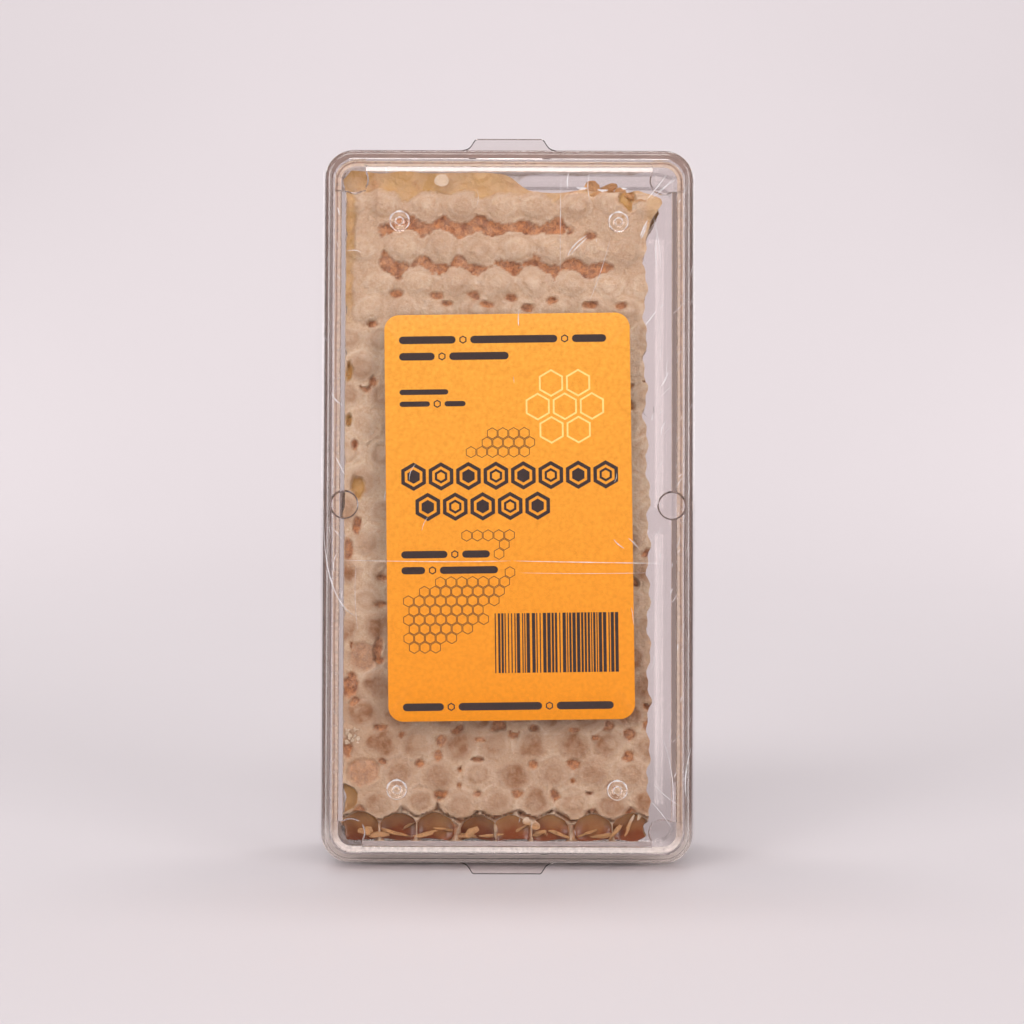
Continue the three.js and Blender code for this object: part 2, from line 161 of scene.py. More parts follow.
class CombSizes(PropertyGroup):
    """Sizes of the comb and its cells"""
    left: length("Left side", -25.3, "The comb's left side")
    right: length("Right side", 21.4, "The comb's right side")
    bottom: length("Bottom", -51.25, "The comb's lower end")
    top: length("Top", 51.1, "The comb's upper end")
    front: length("Front", 3.2, "The highest cappings at the front")
    back: length("Back", 30.3, "The highest cappings at the back")
    midrib: length("Midrib", 16.8, "The wall between the two layers of cells")
    pitch: length("Cell pitch", 5.77, "From one cell to the next in a row")
    squash: FloatProperty(
        name="Squash", description="Height of a cell over that of a regular hexagon", default=0.885)
    wall: length("Cell wall", 0.5, "Thickness of the wax walls at the back")
    thin_wall: length("Thin cell wall", 0.26, "Thickness of the wax walls at the front")
    slope: slant("Cell slope", 9, "How much a cell's mouth is higher than its foot")
    first_x: length("First cell across", 1.18, "A cell's middle in the lowest row")
    first_z: length("First row", -49.6, "Height of the lowest row")
    top_row: IntProperty(name="Top row", description="The highest row with whole cappings", default=21)
    half_row: IntProperty(name="Half row", description="Cells on each side of the first one", default=5)
    wander: length("Wander", 0.42, "How far a cell's middle lies from the even pattern")
    spread: length("Spread", 0.2, "How unevenly deep the cappings lie")
    waver: length("Waver", 0.45, "How far the lines of the pattern stray")
    bell: length("Bell width", 2.3, "How far from its middle a capping sags")
    grain: length("Surface step", 0.25, "Step of the front's surface")
    back_grain: length("Back surface step", 0.42, "Step of the back's surface")
    warp: length("Warp", 0.13, "How far the cut wax is out of true")


class LabelSizes(PropertyGroup):
    """Size and place of the paper label"""
    width: length("Label width", 37.2, "Across the label")
    height: length("Label height", 61.5, "Along the label")
    thickness: length("Label thickness", 0.15, "Thickness of the label")
    gap: length("Label gap", 0.1, "Between the label and the lid")
    corner: length("Label corner", 2.3, "Radius of the label's corners")
    x: length("Label place across", 0.2, "The label's middle, across")
    z: length("Label place along", -1.8, "The label's middle, along")
    turn: slant("Label turn", 0.9, "How far the label is turned, anticlockwise")
    ink: length("Ink thickness", 0.02, "Thickness of the printed shapes")


class FilmSizes(PropertyGroup):
    """Sizes of the film sleeve"""
    thickness: length("Film thickness", 0.15, "Thickness of the film and the air it holds")
    front: length("Film front", 0.6, "From the lid's face to the film")
    gap: length("Film gap", 0.25, "Between the film and the box's sides and back")
    half_height: length("Film half height", 51, "From the middle of the film to its open ends")
    corner: length("Film corner", 1.6, "How far from a corner the film starts to bend")
    wrinkle: length("Film wrinkle", 0.2, "Depth of the film's widest dents")
    step: length("Film step", 0.8, "Step of the film's surface")


class FinishColours(PropertyGroup):
    """Colours of every finish"""
    wax: colour("Capping wax", 203, 179, 150, "Dry cappings")
    wax_dark: colour("Shaded capping wax", 179, 143, 107, "The darker mottling of the cappings")
    wax_pale: colour("Pale wax", 220, 205, 185, "Torn rims and the cappings' rings")
    # The wet wax colour also stands for painted shade: the folds of the top rows and deep cell walls.
    wax_wet_and_shade: colour("Wet wax", 142, 98, 62, "Cappings that honey touches from behind")
    raw: colour("Bare wax", 194, 128, 74, "Grains of the torn wax between the cappings")
    raw_dark: colour("Bare wax hollow", 124, 62, 26, "Hollows of the torn wax between the cappings")
    honey: colour("Honey", 194, 154, 94, "Honey close to the cut sides")
    # Partly painted shade: the dark of honey deep in the open cells.
    honey_deep_and_shaded: colour("Deep honey", 120, 58, 20, "Honey deep in the open cells")
    label: colour("Label top", 248, 174, 58, "The label's paper at its upper end")
    label_low: colour("Label bottom", 242, 148, 0, "The label's paper at its lower end")
    ink: colour("Ink", 44, 26, 24, "The label's dark print")
    badge: colour("Badge", 250, 204, 120, "The badge's pale rings")
    plastic: colour("Box plastic", 253, 250, 249, "The clear plastic, seen through its thickness")
    smear: colour("Smear", 214, 193, 172, "Wax smeared on the tray's rim")
    smear_dark: colour("Smear line", 152, 120, 100, "Honey smeared on the tray's rim")
    edge: colour("Plastic edge", 184, 163, 157, "The matt end of the lid's skirt")
    edge_dark: colour("Plastic edge shade", 160, 141, 136, "Darker streaks of the skirt's end")
    film: colour("Film", 254, 253, 253, "The clear film, and the tray's thin sides")
    # Partly painted highlight: the creases' white stands for the light they catch.
    crease: colour("Film crease", 246, 244, 246, "Creases in the film that catch the light")
    paper: colour("Studio paper", 217, 208, 211, "Floor and backdrop")


class StudioSettings(PropertyGroup):
    """The camera and the lights"""
    distance: length("Camera distance", 500, "From the box to the camera")
    pitch: slant("Camera pitch", 3.8, "How far the camera looks down")
    roll: slant("Camera roll", 0.2, "How far the camera leans to the left")
    lens: FloatProperty(name="Lens", description="Focal length in millimetres", default=116.25)
    aim_x: length("Aim across", 0.6, "From the box's middle to the picture's, across")
    aim_z: length("Aim along", -1.1, "From the box's middle to the picture's, upwards")
    sensor: FloatProperty(name="Sensor", description="Width of the sensor in millimetres", default=36)
    key: power("Key light", 4.5, "Power of the softbox above the front")
    fill: power("Fill light", 4.3, "Power of each side panel")
    top: power("Top light", 0.75, "Power of the softbox over the box")
    window: power("Window light", 0.1, "Power of the strip at the left")
    rear: power("Rear light", 0.8, "Power of each low panel behind the box")
    back: power("Backdrop light", 10.6, "Power of the light on the backdrop")


SETTINGS = {
    "comb_pack_box": BoxSizes,
    "comb_pack_comb": CombSizes,
    "comb_pack_label": LabelSizes,
    "comb_pack_film": FilmSizes,
    "comb_pack_colours": FinishColours,
    "comb_pack_studio": StudioSettings,
}


def settings(name):
    """One of the groups above: box, comb, label, film, colours or studio."""
    return getattr(bpy.context.scene, "comb_pack_" + name)


# --- the pack's frame and its meshes ---


def lean_angle():
    """The lean at which the lower tab's rear edge and the tray's rounded back edge are level."""
    box = settings("box")
    run = box.tray_back - box.tray_round - (box.tab_front + box.lid_wall)
    rise = box.lid_height / 2 + box.tab_reach - (box.tray_height / 2 - box.tray_draft - box.tray_round)
    return math.atan2(rise, run) - math.asin(box.tray_round / math.hypot(run, rise))


def pack_to_frame(points):
    """Turns points about X by the lean, and moves them so that the film's middle is the CAD film's."""
    box, film = settings("box"), settings("film")
    lean = lean_angle()
    turn = np.array([[1, 0, 0], [0, math.cos(lean), math.sin(lean)], [0, -math.sin(lean), math.cos(lean)]])
    low, high = (np.array(corner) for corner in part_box("film"))
    middle = np.array([0, (box.tray_back + film.gap - film.front) / 2, 0])
    return (np.asarray(points) - middle) @ turn.T + (low + high) / 2


def coordinates(mesh):
    """The mesh's points as an array of rows."""
    flat = np.empty(len(mesh.vertices) * 3, np.float32)
    mesh.vertices.foreach_get("co", flat)
    return flat.reshape(-1, 3)


def mesh_of(name, points, faces):
    """A mesh whose faces point outwards: all are turned over where its signed volume is negative."""
    mesh = bpy.data.meshes.new(name)
    mesh.from_pydata(pack_to_frame(points).tolist(), [], faces)
    mesh.calc_loop_triangles()
    corners = np.empty(len(mesh.loop_triangles) * 3, np.int32)
    mesh.loop_triangles.foreach_get("vertices", corners)
    a, b, c = (coordinates(mesh)[corners.reshape(-1, 3)[:, corner]] for corner in range(3))
    if np.einsum("ij,ij->i", a, np.cross(b, c)).sum() < 0:
        mesh.flip_normals()
    mesh.update()
    return mesh


def bend(start, middle, end, share):
    """A curve from start to end that leaves and arrives along its lines to the middle point."""
    return start * (1 - share) ** 2 + 2 * middle * share * (1 - share) + end * share ** 2


def pack_coordinates(mesh):
    """The mesh's points in the pack's frame: pack_to_frame() undone."""
    origin = pack_to_frame([[0, 0, 0]])
    axes = pack_to_frame(np.eye(3)) - origin
    return (coordinates(mesh) - origin) @ axes.T


def add_object(name, data):
    """Adds an object to the scene."""
    item = bpy.data.objects.new(name, data)
    bpy.context.scene.collection.objects.link(item)
    return item


def plain_object(name, points, faces):
    """An object for a piece, or for a cutter that is removed again."""
    return add_object(name, mesh_of(name, points, faces))


def join_shapes(target, other, operation):
    """Applies a Boolean of the other object to the target, and removes the other one."""
    modifier = target.modifiers.new("join", "BOOLEAN")
    modifier.operation = operation
    modifier.solver = "MANIFOLD"
    modifier.object = other
    shape = target.evaluated_get(bpy.context.evaluated_depsgraph_get())
    joined = bpy.data.meshes.new_from_object(shape)
    target.modifiers.clear()
    target.data = joined
    bpy.data.objects.remove(other)
    if not joined.polygons:
        raise RuntimeError(f"{target.name}: nothing is left after {operation}")


def finish_piece(item, finish, node, smooth_under):
    """Shades the piece, gives it its material, ties it to the root body, and hides the CAD node that it
    stands for.
    """
    item.data.shade_smooth()
    item.data.set_sharp_from_angle(angle=math.radians(smooth_under))
    item.data.materials.clear()
    item.data.materials.append(material_of(finish))
    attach(item, "root")
    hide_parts(node)


def point_values(item, name, kind, values):
    """Writes one value for each point of the piece's mesh: kind is FLOAT or FLOAT_COLOR."""
    field = "color" if kind == "FLOAT_COLOR" else "value"
    attribute = item.data.attributes.new(name, kind, "POINT")
    attribute.data.foreach_set(field, np.asarray(values, np.float32).ravel())


def grid_quads(rows, columns, closed=False, closed_rows=False):
    """The quads of a grid of points, whose columns and rows may each close into a ring."""
    counts = (rows if closed_rows else rows - 1, columns if closed else columns - 1)
    row, column = np.meshgrid(np.arange(counts[0]), np.arange(counts[1]), indexing="ij")
    right, up = (column + 1) % columns, (row + 1) % rows
    quads = [row * columns + column, row * columns + right, up * columns + right, up * columns + column]
    return np.stack(quads, axis=-1).reshape(-1, 4)


def ring_faces(rings, sides, copies=1):
    """The faces of closed rings, whose section closes as well as its path."""
    quads = grid_quads(rings, sides, closed=True, closed_rows=True)
    return (quads + (np.arange(copies) * rings * sides)[:, None, None]).reshape(-1, 4).tolist()


def tube_faces(rings, sides, copies=1):
    """The faces of closed tubes: quads between their rings and one flat face on each end."""
    quads = grid_quads(rings, sides, closed=True)
    ends = np.stack([np.arange(sides)[::-1], np.arange(sides) + (rings - 1) * sides])
    offsets = (np.arange(copies) * rings * sides)[:, None, None]
    return (quads + offsets).reshape(-1, 4).tolist() + (ends + offsets).reshape(-1, sides).tolist()


def pole_faces(rings, sides, copies=1):
    """The faces of closed round shapes: rings of points after two single points at the poles."""
    around = np.arange(sides)
    after = (around + 1) % sides
    last = 2 + (rings - 1) * sides
    caps = np.concatenate([
        np.stack([np.zeros_like(around), 2 + after, 2 + around], axis=-1),
        np.stack([np.ones_like(around), last + around, last + after], axis=-1),
    ])
    offsets = (np.arange(copies) * (2 + rings * sides))[:, None, None]
    quads = grid_quads(rings, sides, closed=True) + 2
    return (quads + offsets).reshape(-1, 4).tolist() + (caps + offsets).reshape(-1, 3).tolist()


# --- smooth chance ---


def chance(number):
    """A repeatable number from 0 to 1: the fraction of a large sine wave of the number."""
    wave = np.sin(np.asarray(number, float) * 12.9898) * 43758.5453
    return wave - np.floor(wave)


def ease(low, high, value):
    """0 below low, 1 above high, and a cubic with level ends between them."""
    share = np.clip((value - low) / (high - low), 0, 1)
    return share * share * (3 - 2 * share)


def ripple(x, z, size, seed):
    """Smooth noise from 0 to 1: chance at the corners of squares of the given size, blended between."""
    across, along = x / size + 17.3, z / size + 41.9
    column, row = np.floor(across), np.floor(along)
    u, v = ease(0, 1, across - column), ease(0, 1, along - row)

    def corner(right, up):
        """The chance at one corner of each point's square."""
        return chance((column + right) * 1.31 + (row + up) * 57.77 + seed * 7.13)

    low = corner(0, 0) * (1 - u) + corner(1, 0) * u
    high = corner(0, 1) * (1 - u) + corner(1, 1) * u
    return low * (1 - v) + high * v


def rough(x, z, size, seed):
    """Three octaves of ripple, each half the size and half the strength of the one before."""
    octaves = [ripple(x, z, size / 2 ** octave, seed + octave) / 2 ** octave for octave in range(3)]
    return sum(octaves) / 1.75


# --- the box ---


def rounded_loop(half_width, half_height, radius, steps=8, support=0.3 * MM):
    """A rectangle with round corners: quarter circles about the corners' middles, with one more point
    on the straight side before and after each, which keeps the sides' shading flat."""
    turn = np.linspace(0, math.pi / 2, steps + 1)
    arc = np.stack([np.cos(turn), np.sin(turn)], axis=-1) * radius
    before, after = arc[:1] - [0, support], arc[-1:] - [support, 0]
    quarter = np.concatenate([before, arc, after])
    corners = []
    for place, (across, along) in enumerate([(1, 1), (-1, 1), (-1, -1), (1, -1)]):
        cosine, sine = math.cos(place * math.pi / 2), math.sin(place * math.pi / 2)
        turned = quarter @ np.array([[cosine, sine], [-sine, cosine]])
        corners.append(turned + [across * (half_width - radius), along * (half_height - radius)])
    return np.concatenate(corners)


def soft_section(points, radii, steps=5, support=0.04 * MM):
    """A section whose corners are rounded: on each, a curve that leaves one side and meets the next at
    the corner's radius, with one more point on either side that keeps the flats' shading flat."""
    rounded = [points[0]]
    for before, corner, after, radius in zip(points, points[1:], points[2:], radii):
        arrive, leave = np.subtract(before, corner), np.subtract(after, corner)
        arrive, leave = arrive / np.linalg.norm(arrive), leave / np.linalg.norm(leave)
        share = np.linspace(0, 1, steps + 1)[:, None]
        angle = share * math.pi / 2
        curve = corner + radius * (arrive * (1 - np.sin(angle)) + leave * (1 - np.cos(angle)))
        rounded += [corner + arrive * (radius + support), *curve, corner + leave * (radius + support)]
    rounded.append(points[-1])
    return np.array(rounded, float)


def section_loops(width, height, corner, section):
    """For each (inset, y) of a section, the rounded rectangle that lies that far inside the outline at
    that depth."""
    loops = []
    for inset, y in section:
        radius = max(corner - inset, 0.5 * MM)
        loop = rounded_loop(width / 2 - inset, height / 2 - inset, radius)
        loops.append(np.insert(loop, 1, y, axis=1))
    return loops


def shell_of(name, width, height, corner, section):
    """A moulded shell: the loops of a section that starts and ends in a flat face."""
    loops = section_loops(width, height, corner, section)
    return plain_object(name, np.concatenate(loops), tube_faces(len(loops), len(loops[0])))


def turned_shape(name, radii, depths, middle, sides=40):
    """A shape turned about an axis along Y: a circle of each radius at each depth, between two poles."""
    angle = np.arange(sides) / sides * 2 * math.pi
    radii, depths = np.array(radii), np.array(depths)
    x = middle[0] + radii[1:-1, None] * np.cos(angle)
    z = middle[1] + radii[1:-1, None] * np.sin(angle)
    y = np.broadcast_to(depths[1:-1, None], x.shape)
    rings = np.stack([x, y, z], axis=-1).reshape(-1, 3)
    poles = [[middle[0], depths[0], middle[1]], [middle[0], depths[-1], middle[1]]]
    return plain_object(name, np.concatenate([poles, rings]), pole_faces(len(radii) - 2, sides))


def pad_of(box, x, z):
    """A short round pad whose rim is cut back."""
    top = box.lid_wall + box.rib_height
    rim = 2 * box.soft_edge
    radii = [0, box.pad_radius, box.pad_radius, box.pad_radius - rim, 0]
    depths = [box.lid_wall / 2, box.lid_wall / 2, top - rim, top, top]
    return turned_shape("pad", radii, depths, (x, z))


def pad_web(box, x, z):
    """The block that ties a corner pad to the lid's corner, a little narrower than the pad."""
    near, far = -box.pad_radius + 0.5 * MM, box.pad_corner - box.lid_wall / 2 - 0.8 * MM
    square = np.array([[near, near], [far, near], [far, far], [near, far]]) * np.sign([x, z]) + [x, z]
    depths = (box.lid_wall / 2, box.lid_wall + box.rib_height)
    rings = [np.insert(square, 1, depth, axis=1) for depth in depths]
    return plain_object("pad web", np.concatenate(rings), tube_faces(2, 4))


def pip_of(box, x, z):
    """A round pip on the lid's face: a ring with a soft rim, dished inside, with a nub in its middle."""
    shares = np.array([1, 0.99, 0.96, 0.9, 0.82, 0.74, 0.64, 0.5, 0.34, 0.24, 0.14])
    heights = np.array([0, 0.5, 0.78, 0.94, 1, 0.94, 0.74, 0.45, 0.4, 0.62, 0.7])
    radii = [0, box.pip_radius, *(shares * box.pip_radius), 0]
    depths = [box.lid_wall / 2, box.lid_wall / 2, *(-heights * box.pip_height), -0.72 * box.pip_height]
    return turned_shape("pip", radii, depths, (x, z))


def tab_of(box, side):
    """The lug on a short end: a flat tongue whose outline leaves the lid on a hollow curve, runs up a
    sloped side and rounds over into its tip."""
    edge = box.lid_height / 2
    share = np.linspace(0, 1, 7)[:, None]
    foot, base = np.array([box.tab_foot / 2, edge]), np.array([box.tab_base / 2, edge])
    tip = np.array([box.tab_tip / 2, edge + box.tab_reach])
    middle, round_over = (base + tip) / 2, 0.35 * MM
    shoulder = bend(foot, base, middle, share)
    slope = (middle - tip) / np.linalg.norm(middle - tip)
    nose = bend(tip + slope * round_over, tip, tip - [round_over, 0], share)
    half = np.concatenate([[[box.tab_foot / 2, edge - box.lid_wall / 2]], shoulder, nose])
    outline = np.concatenate([half, half[::-1] * [-1, 1]])
    rim = box.soft_edge
    along = np.roll(outline, -1, axis=0) - np.roll(outline, 1, axis=0)
    inward = along[:, ::-1] * [1, -1] / np.linalg.norm(along, axis=1)[:, None]
    inward[[0, -1]] = 0
    front, back = box.tab_front, box.tab_front + box.lid_wall
    rings = [np.insert((outline + inward * inset) * [1, side], 1, depth, axis=1)
             for inset, depth in ((rim, front), (0, front + rim), (0, back - rim), (rim, back))]
    return plain_object("tab", np.concatenate(rings), tube_faces(4, len(outline)))


def floor_cutter(box):
    """A slab whose top is the floor, as a tilted box in the pack's frame."""
    lean = lean_angle()
    back = box.tab_front + box.lid_wall
    level = -back * math.sin(lean) - (box.lid_height / 2 + box.tab_reach) * math.cos(lean) + box.seat_flat
    reach, depth = 0.1, 0.01
    sides = np.array([[-1, -1], [1, -1], [1, 1], [-1, 1]]) * reach
    points = np.concatenate([np.insert(sides, 2, height, axis=1) for height in (level - depth, level)])
    turn = np.array([[1, 0, 0], [0, math.cos(lean), -math.sin(lean)], [0, math.sin(lean), math.cos(lean)]])
    return plain_object("floor cutter", points @ turn.T, tube_faces(2, 4))


class COMBPACK_OT_lid(Operator):
    """Moulds the clear lid with its rib, pads, pips and tabs"""
    bl_idname = "combpack.lid"
    bl_label = "Lid"

    def execute(self, context):
        box = settings("box")
        under, soft = box.lid_wall, box.soft_edge
        rib_out, rib_in = box.rib_inset, box.rib_inset + box.rib_width
        corners = [
            (box.lid_round * 2, 0), (0, 0), (0, box.lid_depth), (box.lid_wall, box.lid_depth),
            (box.lid_wall, under), (rib_out, under), (rib_out, under + box.rib_height),
            (rib_in, under + box.rib_height - box.rib_width), (rib_in, under),
            (rib_in + 2 * box.rib_width, under),
        ]
        radii = [box.lid_round, soft * 2, soft, soft * 2, soft, soft / 2, soft / 2, soft]
        section = soft_section(corners, radii)
        lid = shell_of("lid_clear", box.lid_width, box.lid_height, box.lid_corner, section)
        pad_x, pad_z = box.lid_width / 2 - box.pad_corner, box.lid_height / 2 - box.pad_corner
        side_x = box.lid_width / 2 - box.pad_side
        for side in (-1, 1):
            for x, z in ((pad_x, pad_z), (pad_x, -pad_z), (side_x, 0)):
                join_shapes(lid, pad_of(box, side * x, z), "UNION")
                if z:
                    join_shapes(lid, pad_web(box, side * x, z), "UNION")
            for z in (-box.pip_z, box.pip_z):
                join_shapes(lid, pip_of(box, side * box.pip_x, z), "UNION")
            join_shapes(lid, tab_of(box, side), "UNION")
        join_shapes(lid, floor_cutter(box), "DIFFERENCE")
        finish_piece(lid, clear_plastic_finish, "lid", 30)
        return {"FINISHED"}


class COMBPACK_OT_tray(Operator):
    """Moulds the clear tray that the comb stands in"""
    bl_idname = "combpack.tray"
    bl_label = "Tray"

    def execute(self, context):
        box = settings("box")
        inner = box.tray_back - box.tray_floor
        corners = [
            (box.tray_round * 3, box.tray_back), (box.tray_draft, box.tray_back), (0, box.tray_front),
            (box.tray_wall, box.tray_front), (box.tray_wall + box.tray_draft, inner),
            (box.tray_round * 4, inner),
        ]
        radii = [box.tray_round, box.soft_edge, box.soft_edge, box.tray_round / 2]
        section = soft_section(corners, radii)
        tray = shell_of("tray_clear", box.tray_width, box.tray_height, box.tray_corner, section)
        join_shapes(tray, floor_cutter(box), "DIFFERENCE")
        finish_piece(tray, thin_clear_plastic_finish, "tray", 30)
        return {"FINISHED"}


# --- the comb ---

# How far the top rows have slipped apart, and how far they have moved sideways, by row.
SLIP = {18: 0, 19: -0.5, 20: 0.4, 21: 2.7, 22: 3.2}
SIDE_SHIFT = {18: 0, 19: -0.5, 20: -0.15, 21: 0.35, 22: 0}
# The two bare seams: the row under each, how thin the skin ends there, and where it starts and ends.
SEAMS = ((20, 0.2, -20.4, 9.9), (19, 0.325, -21.0, 17.4))
# Torn spots in the cappings as (x, z, half width, half height), in millimetres from the lid's middle.
TORN_SPOTS = (
    (12.2, 41.3, 1.0, 0.7), (-17.1, 32.3, 0.9, 0.6), (-11.1, 32.2, 1.0, 0.6), (-5.3, 32.2, 0.9, 0.7),
    (-9.5, 30.9, 0.8, 0.4), (-3.4, 30.8, 1.0, 0.5), (0.3, 31.7, 0.9, 0.6), (2.7, 30.2, 1.0, 0.6),
    (6.6, 31.3, 0.8, 0.6), (12.4, 30.6, 1.1, 0.5), (17.1, 30.5, 0.9, 0.6), (-19.1, -11.0, 0.9, 0.6),
    (-19.3, -15.0, 0.9, 0.5), (-23.2, -29.7, 0.7, 0.9), (-19.5, -23.6, 0.8, 0.6),
    (-19.2, -33.8, 1.0, 0.5), (-9.9, -35.8, 0.8, 0.8), (-10.4, -38.0, 0.7, 0.8), (-7.8, -34.3, 0.9, 0.5),
    (-4.1, -35.5, 0.9, 0.4), (-4.7, -38.5, 1.0, 0.3), (-7.2, -39.9, 0.4, 0.5), (-1.7, -33.8, 0.9, 0.4),
    (0.9, -35.0, 0.7, 0.3), (4.0, -33.9, 0.8, 0.5), (10.1, -34.0, 0.9, 0.5), (13.3, -35.2, 0.7, 0.5),
    (15.3, -33.9, 0.7, 0.4), (18.3, -38.4, 0.9, 0.4), (9.9, -41.7, 0.4, 0.5), (12.5, -43.6, 0.7, 0.25),
    (-23.5, 9.3, 0.5, 0.9), (-23.0, -3.1, 0.6, 1.4), (-24.2, -6.8, 0.7, 1.5), (-19.6, -21.6, 0.7, 1.6),
    (-23.7, -27.6, 1.1, 2.1), (-24.3, -37.3, 0.7, 1.3), (-20.8, 27.6, 0.9, 0.5), (-20.6, 19.0, 0.5, 0.9),
)
# Cells whose capping is gone as (row, place), and hollows that are full of honey, given as the spots are.
BARE_CELLS = ((6, -4), (2, -4))
HOLLOWS = (
    (18.1, 46.8, 1.3, 1.5), (-22.9, 2.6, 1.0, 1.6), (-24.4, 20.5, 0.5, 1.4), (-24.3, 12.8, 0.4, 1.0),
)
# The cut top's step down to the right, and the flap of wax that leans out at the top of the right side.
TOP_STEP = {"x": -1.5, "run": 5, "drop": 2.8}
FLAP = {"low": 41.8, "tip": 46.9, "high": 47.8, "reach": 2.3}
# The cappings can end only below the first height and above the second. Along the upper left runs a
# strip of soaked wax, which begins between its two heights. These are in millimetres as well.
OPEN_BELOW, OPEN_ABOVE = -44, 46.4
STRIP = {"width": 1.4, "stray": 1.5, "low": 26, "high": 33}
# A cell whose middle lies this near to a cut side is opened by the cut.
CUT_REACH = 1.8 * MM
# A distance beyond every cell, in metres.
FAR = 1.0


def row_values(table, row):
    """A table's value in metres at any row, straight between its rows and level outside them."""
    return np.interp(row, list(table), [value * MM for value in table.values()])


def row_step(comb):
    """From one row of cells to the next."""
    return 1.5 * comb.pitch / math.sqrt(3) * comb.squash


def back_shift(comb):
    """The middles of the cells at the back lie behind the corners of the cells in front."""
    return comb.pitch / math.sqrt(3) * comb.squash


def row_height(comb, row):
    """Where a row lies along Z once it has slipped."""
    return comb.first_z + row * row_step(comb) + row_values(SLIP, row)


def cell_middle(comb, row, place):
    """A cell's middle: on a triangular lattice, moved with its row and a little at random."""
    x = comb.first_x + (place + 0.5 * (row % 2)) * comb.pitch + row_values(SIDE_SHIFT, row)
    z = row_height(comb, row)
    stray_x = chance(row * 13.7 + place * 3.1) - 0.5
    stray_z = chance(row * 5.3 + place * 9.7 + 2) - 0.5
    return x + stray_x * 2 * comb.wander, z + stray_z * 1.3 * comb.wander


def nearest_cells(comb, x, z):
    """For each point the rows, places and distances of nine cells round it, nearest first. Distances
    are measured with Z stretched back to regular hexagons."""
    rows = np.arange(-3, comb.top_row + 5)
    row = np.rint(np.interp(z, row_height(comb, rows), rows))
    found = []
    for up in (-1, 0, 1):
        for across in (-1, 0, 1):
            other = row + up
            first = comb.first_x + 0.5 * (other % 2) * comb.pitch
            place = np.rint((x - first) / comb.pitch) + across
            middle_x, middle_z = cell_middle(comb, other, place)
            found.append((other, place, np.hypot(x - middle_x, (z - middle_z) / comb.squash)))
    rows, places, distances = (np.stack(part) for part in zip(*found))
    order = np.argsort(distances, axis=0)
    return (np.take_along_axis(part, order, axis=0) for part in (rows, places, distances))


def spots(x, z, table, seed):
    """How much each point lies in one of the ragged ovals of a table: 1 inside, 0 outside."""
    inside = np.zeros_like(x)
    ragged = (rough(x, z, 0.9 * MM, seed) - 0.5) * 0.9
    for middle_x, middle_z, half_width, half_height in table:
        reach = np.hypot((x / MM - middle_x) / half_width, (z / MM - middle_z) / half_height) + ragged
        inside = np.maximum(inside, 1 - ease(0.75, 1.2, reach))
    return inside


def bells(comb, distances, counted):
    """A bell curve of the distance to each of the five nearest cells, added up where it is counted."""
    return np.exp(-(np.where(counted, distances, FAR)[:5] / comb.bell) ** 2).sum(axis=0)


def cell_pattern(comb, x, z):
    """The cells round each point of the front, nearest first, once the point has strayed by smooth noise.
    own is a number of the nearest cell's own, upper says how far the point is in the top rows, rag and
    fine are noise about 0, and gap is how much further the second cell is than the nearest."""
    waver_x = x + comb.waver * (rough(x, z, 2.4 * MM, 91) - 0.5) * 2
    waver_z = z + comb.waver * (rough(x, z, 2.4 * MM, 95) - 0.5) * 2
    rows, places, distances = nearest_cells(comb, waver_x, waver_z)
    rag = rough(x, z, 1.3 * MM, 3) - 0.5
    return SimpleNamespace(
        x=x, z=z, rows=rows, places=places, distances=distances, row=rows[0], place=places[0], rag=rag,
        own=chance(rows[0] * 31 + places[0] * 7), fine=rough(x, z, 0.5 * MM, 8) - 0.5,
        upper=ease(comb.top_row - 4.6, comb.top_row - 2.6, rows[0]),
        radius=distances[0] + 0.6 * MM * rag, gap=distances[1] - distances[0],
        skin=bells(comb, distances, True))


def capping_relief(comb, at):
    """The depth of whole cappings, their ridges and their rings: a skin that swells over the cells and
    sags between them, more so in the top rows, with faint rings round the cells' middles, and below the
    top rows thin ridges half way between cells."""
    depth = 0.3 * MM * ripple(at.x, at.z, 9 * MM, 1) + comb.spread * at.own
    depth += (0.2 + 0.5 * at.upper) * MM * (1 - ease(0.24, 0.98, at.skin))
    ridge = np.exp(-(at.gap / (0.44 * MM)) ** 2) * (1 - at.upper)
    ridge *= ease(0.3, 0.7, ripple(at.x, at.z, 3.3 * MM, 17))
    depth -= 0.12 * MM * ridge
    reach = at.radius / MM - 0.45 * at.own
    ring = np.exp(-((reach - 1.65) / 0.3) ** 2) - 0.45 * np.exp(-((reach - 1.0) / 0.35) ** 2)
    ring += 0.25 * np.cos(10 * reach) * np.exp(-(reach / 1.6) ** 4)
    depth -= 0.07 * MM * ring * (0.4 + at.own)
    depth += 0.2 * MM * at.rag + 0.13 * MM * at.fine
    return depth, ridge, ring


def bare_seams(at):
    """The seams where the bells of slipped rows no longer meet, and the pale lips beside them."""
    bare, lip = np.zeros_like(at.x), np.zeros_like(at.x)
    near = 6 * MM
    for low, edge, start, end in SEAMS:
        held = ease(start - 1, start + 3, at.x / MM) * (1 - ease(end - 3, end + 1, at.x / MM))
        between = np.where(at.rows <= low, at.distances, FAR).min(axis=0) < near
        between &= np.where(at.rows > low, at.distances, FAR).min(axis=0) < near
        over = at.skin + 0.18 * at.rag + 0.12 * at.fine - edge * held
        bare = np.maximum(bare, (1 - ease(-0.02, 0.03, over)) * between)
        lip = np.maximum(lip, np.exp(-((over - 0.06) / 0.04) ** 2) * between * held)
    return bare, lip


def corner_pits(rows, places, distances, rag, odds, size, spread, soft, seed):
    """Ragged pits of varied size at some of the places where three cells meet, by chance of their own."""
    key = (rows[:3] * 17 + places[:3] * 5).sum(axis=0) + seed
    edge = (distances[2] - distances[0]) / 2 + 0.4 * MM * rag - (size + spread * chance(key + 3)) * MM
    return (1 - ease(-soft * MM, soft * MM, edge)) * (chance(key) < odds)


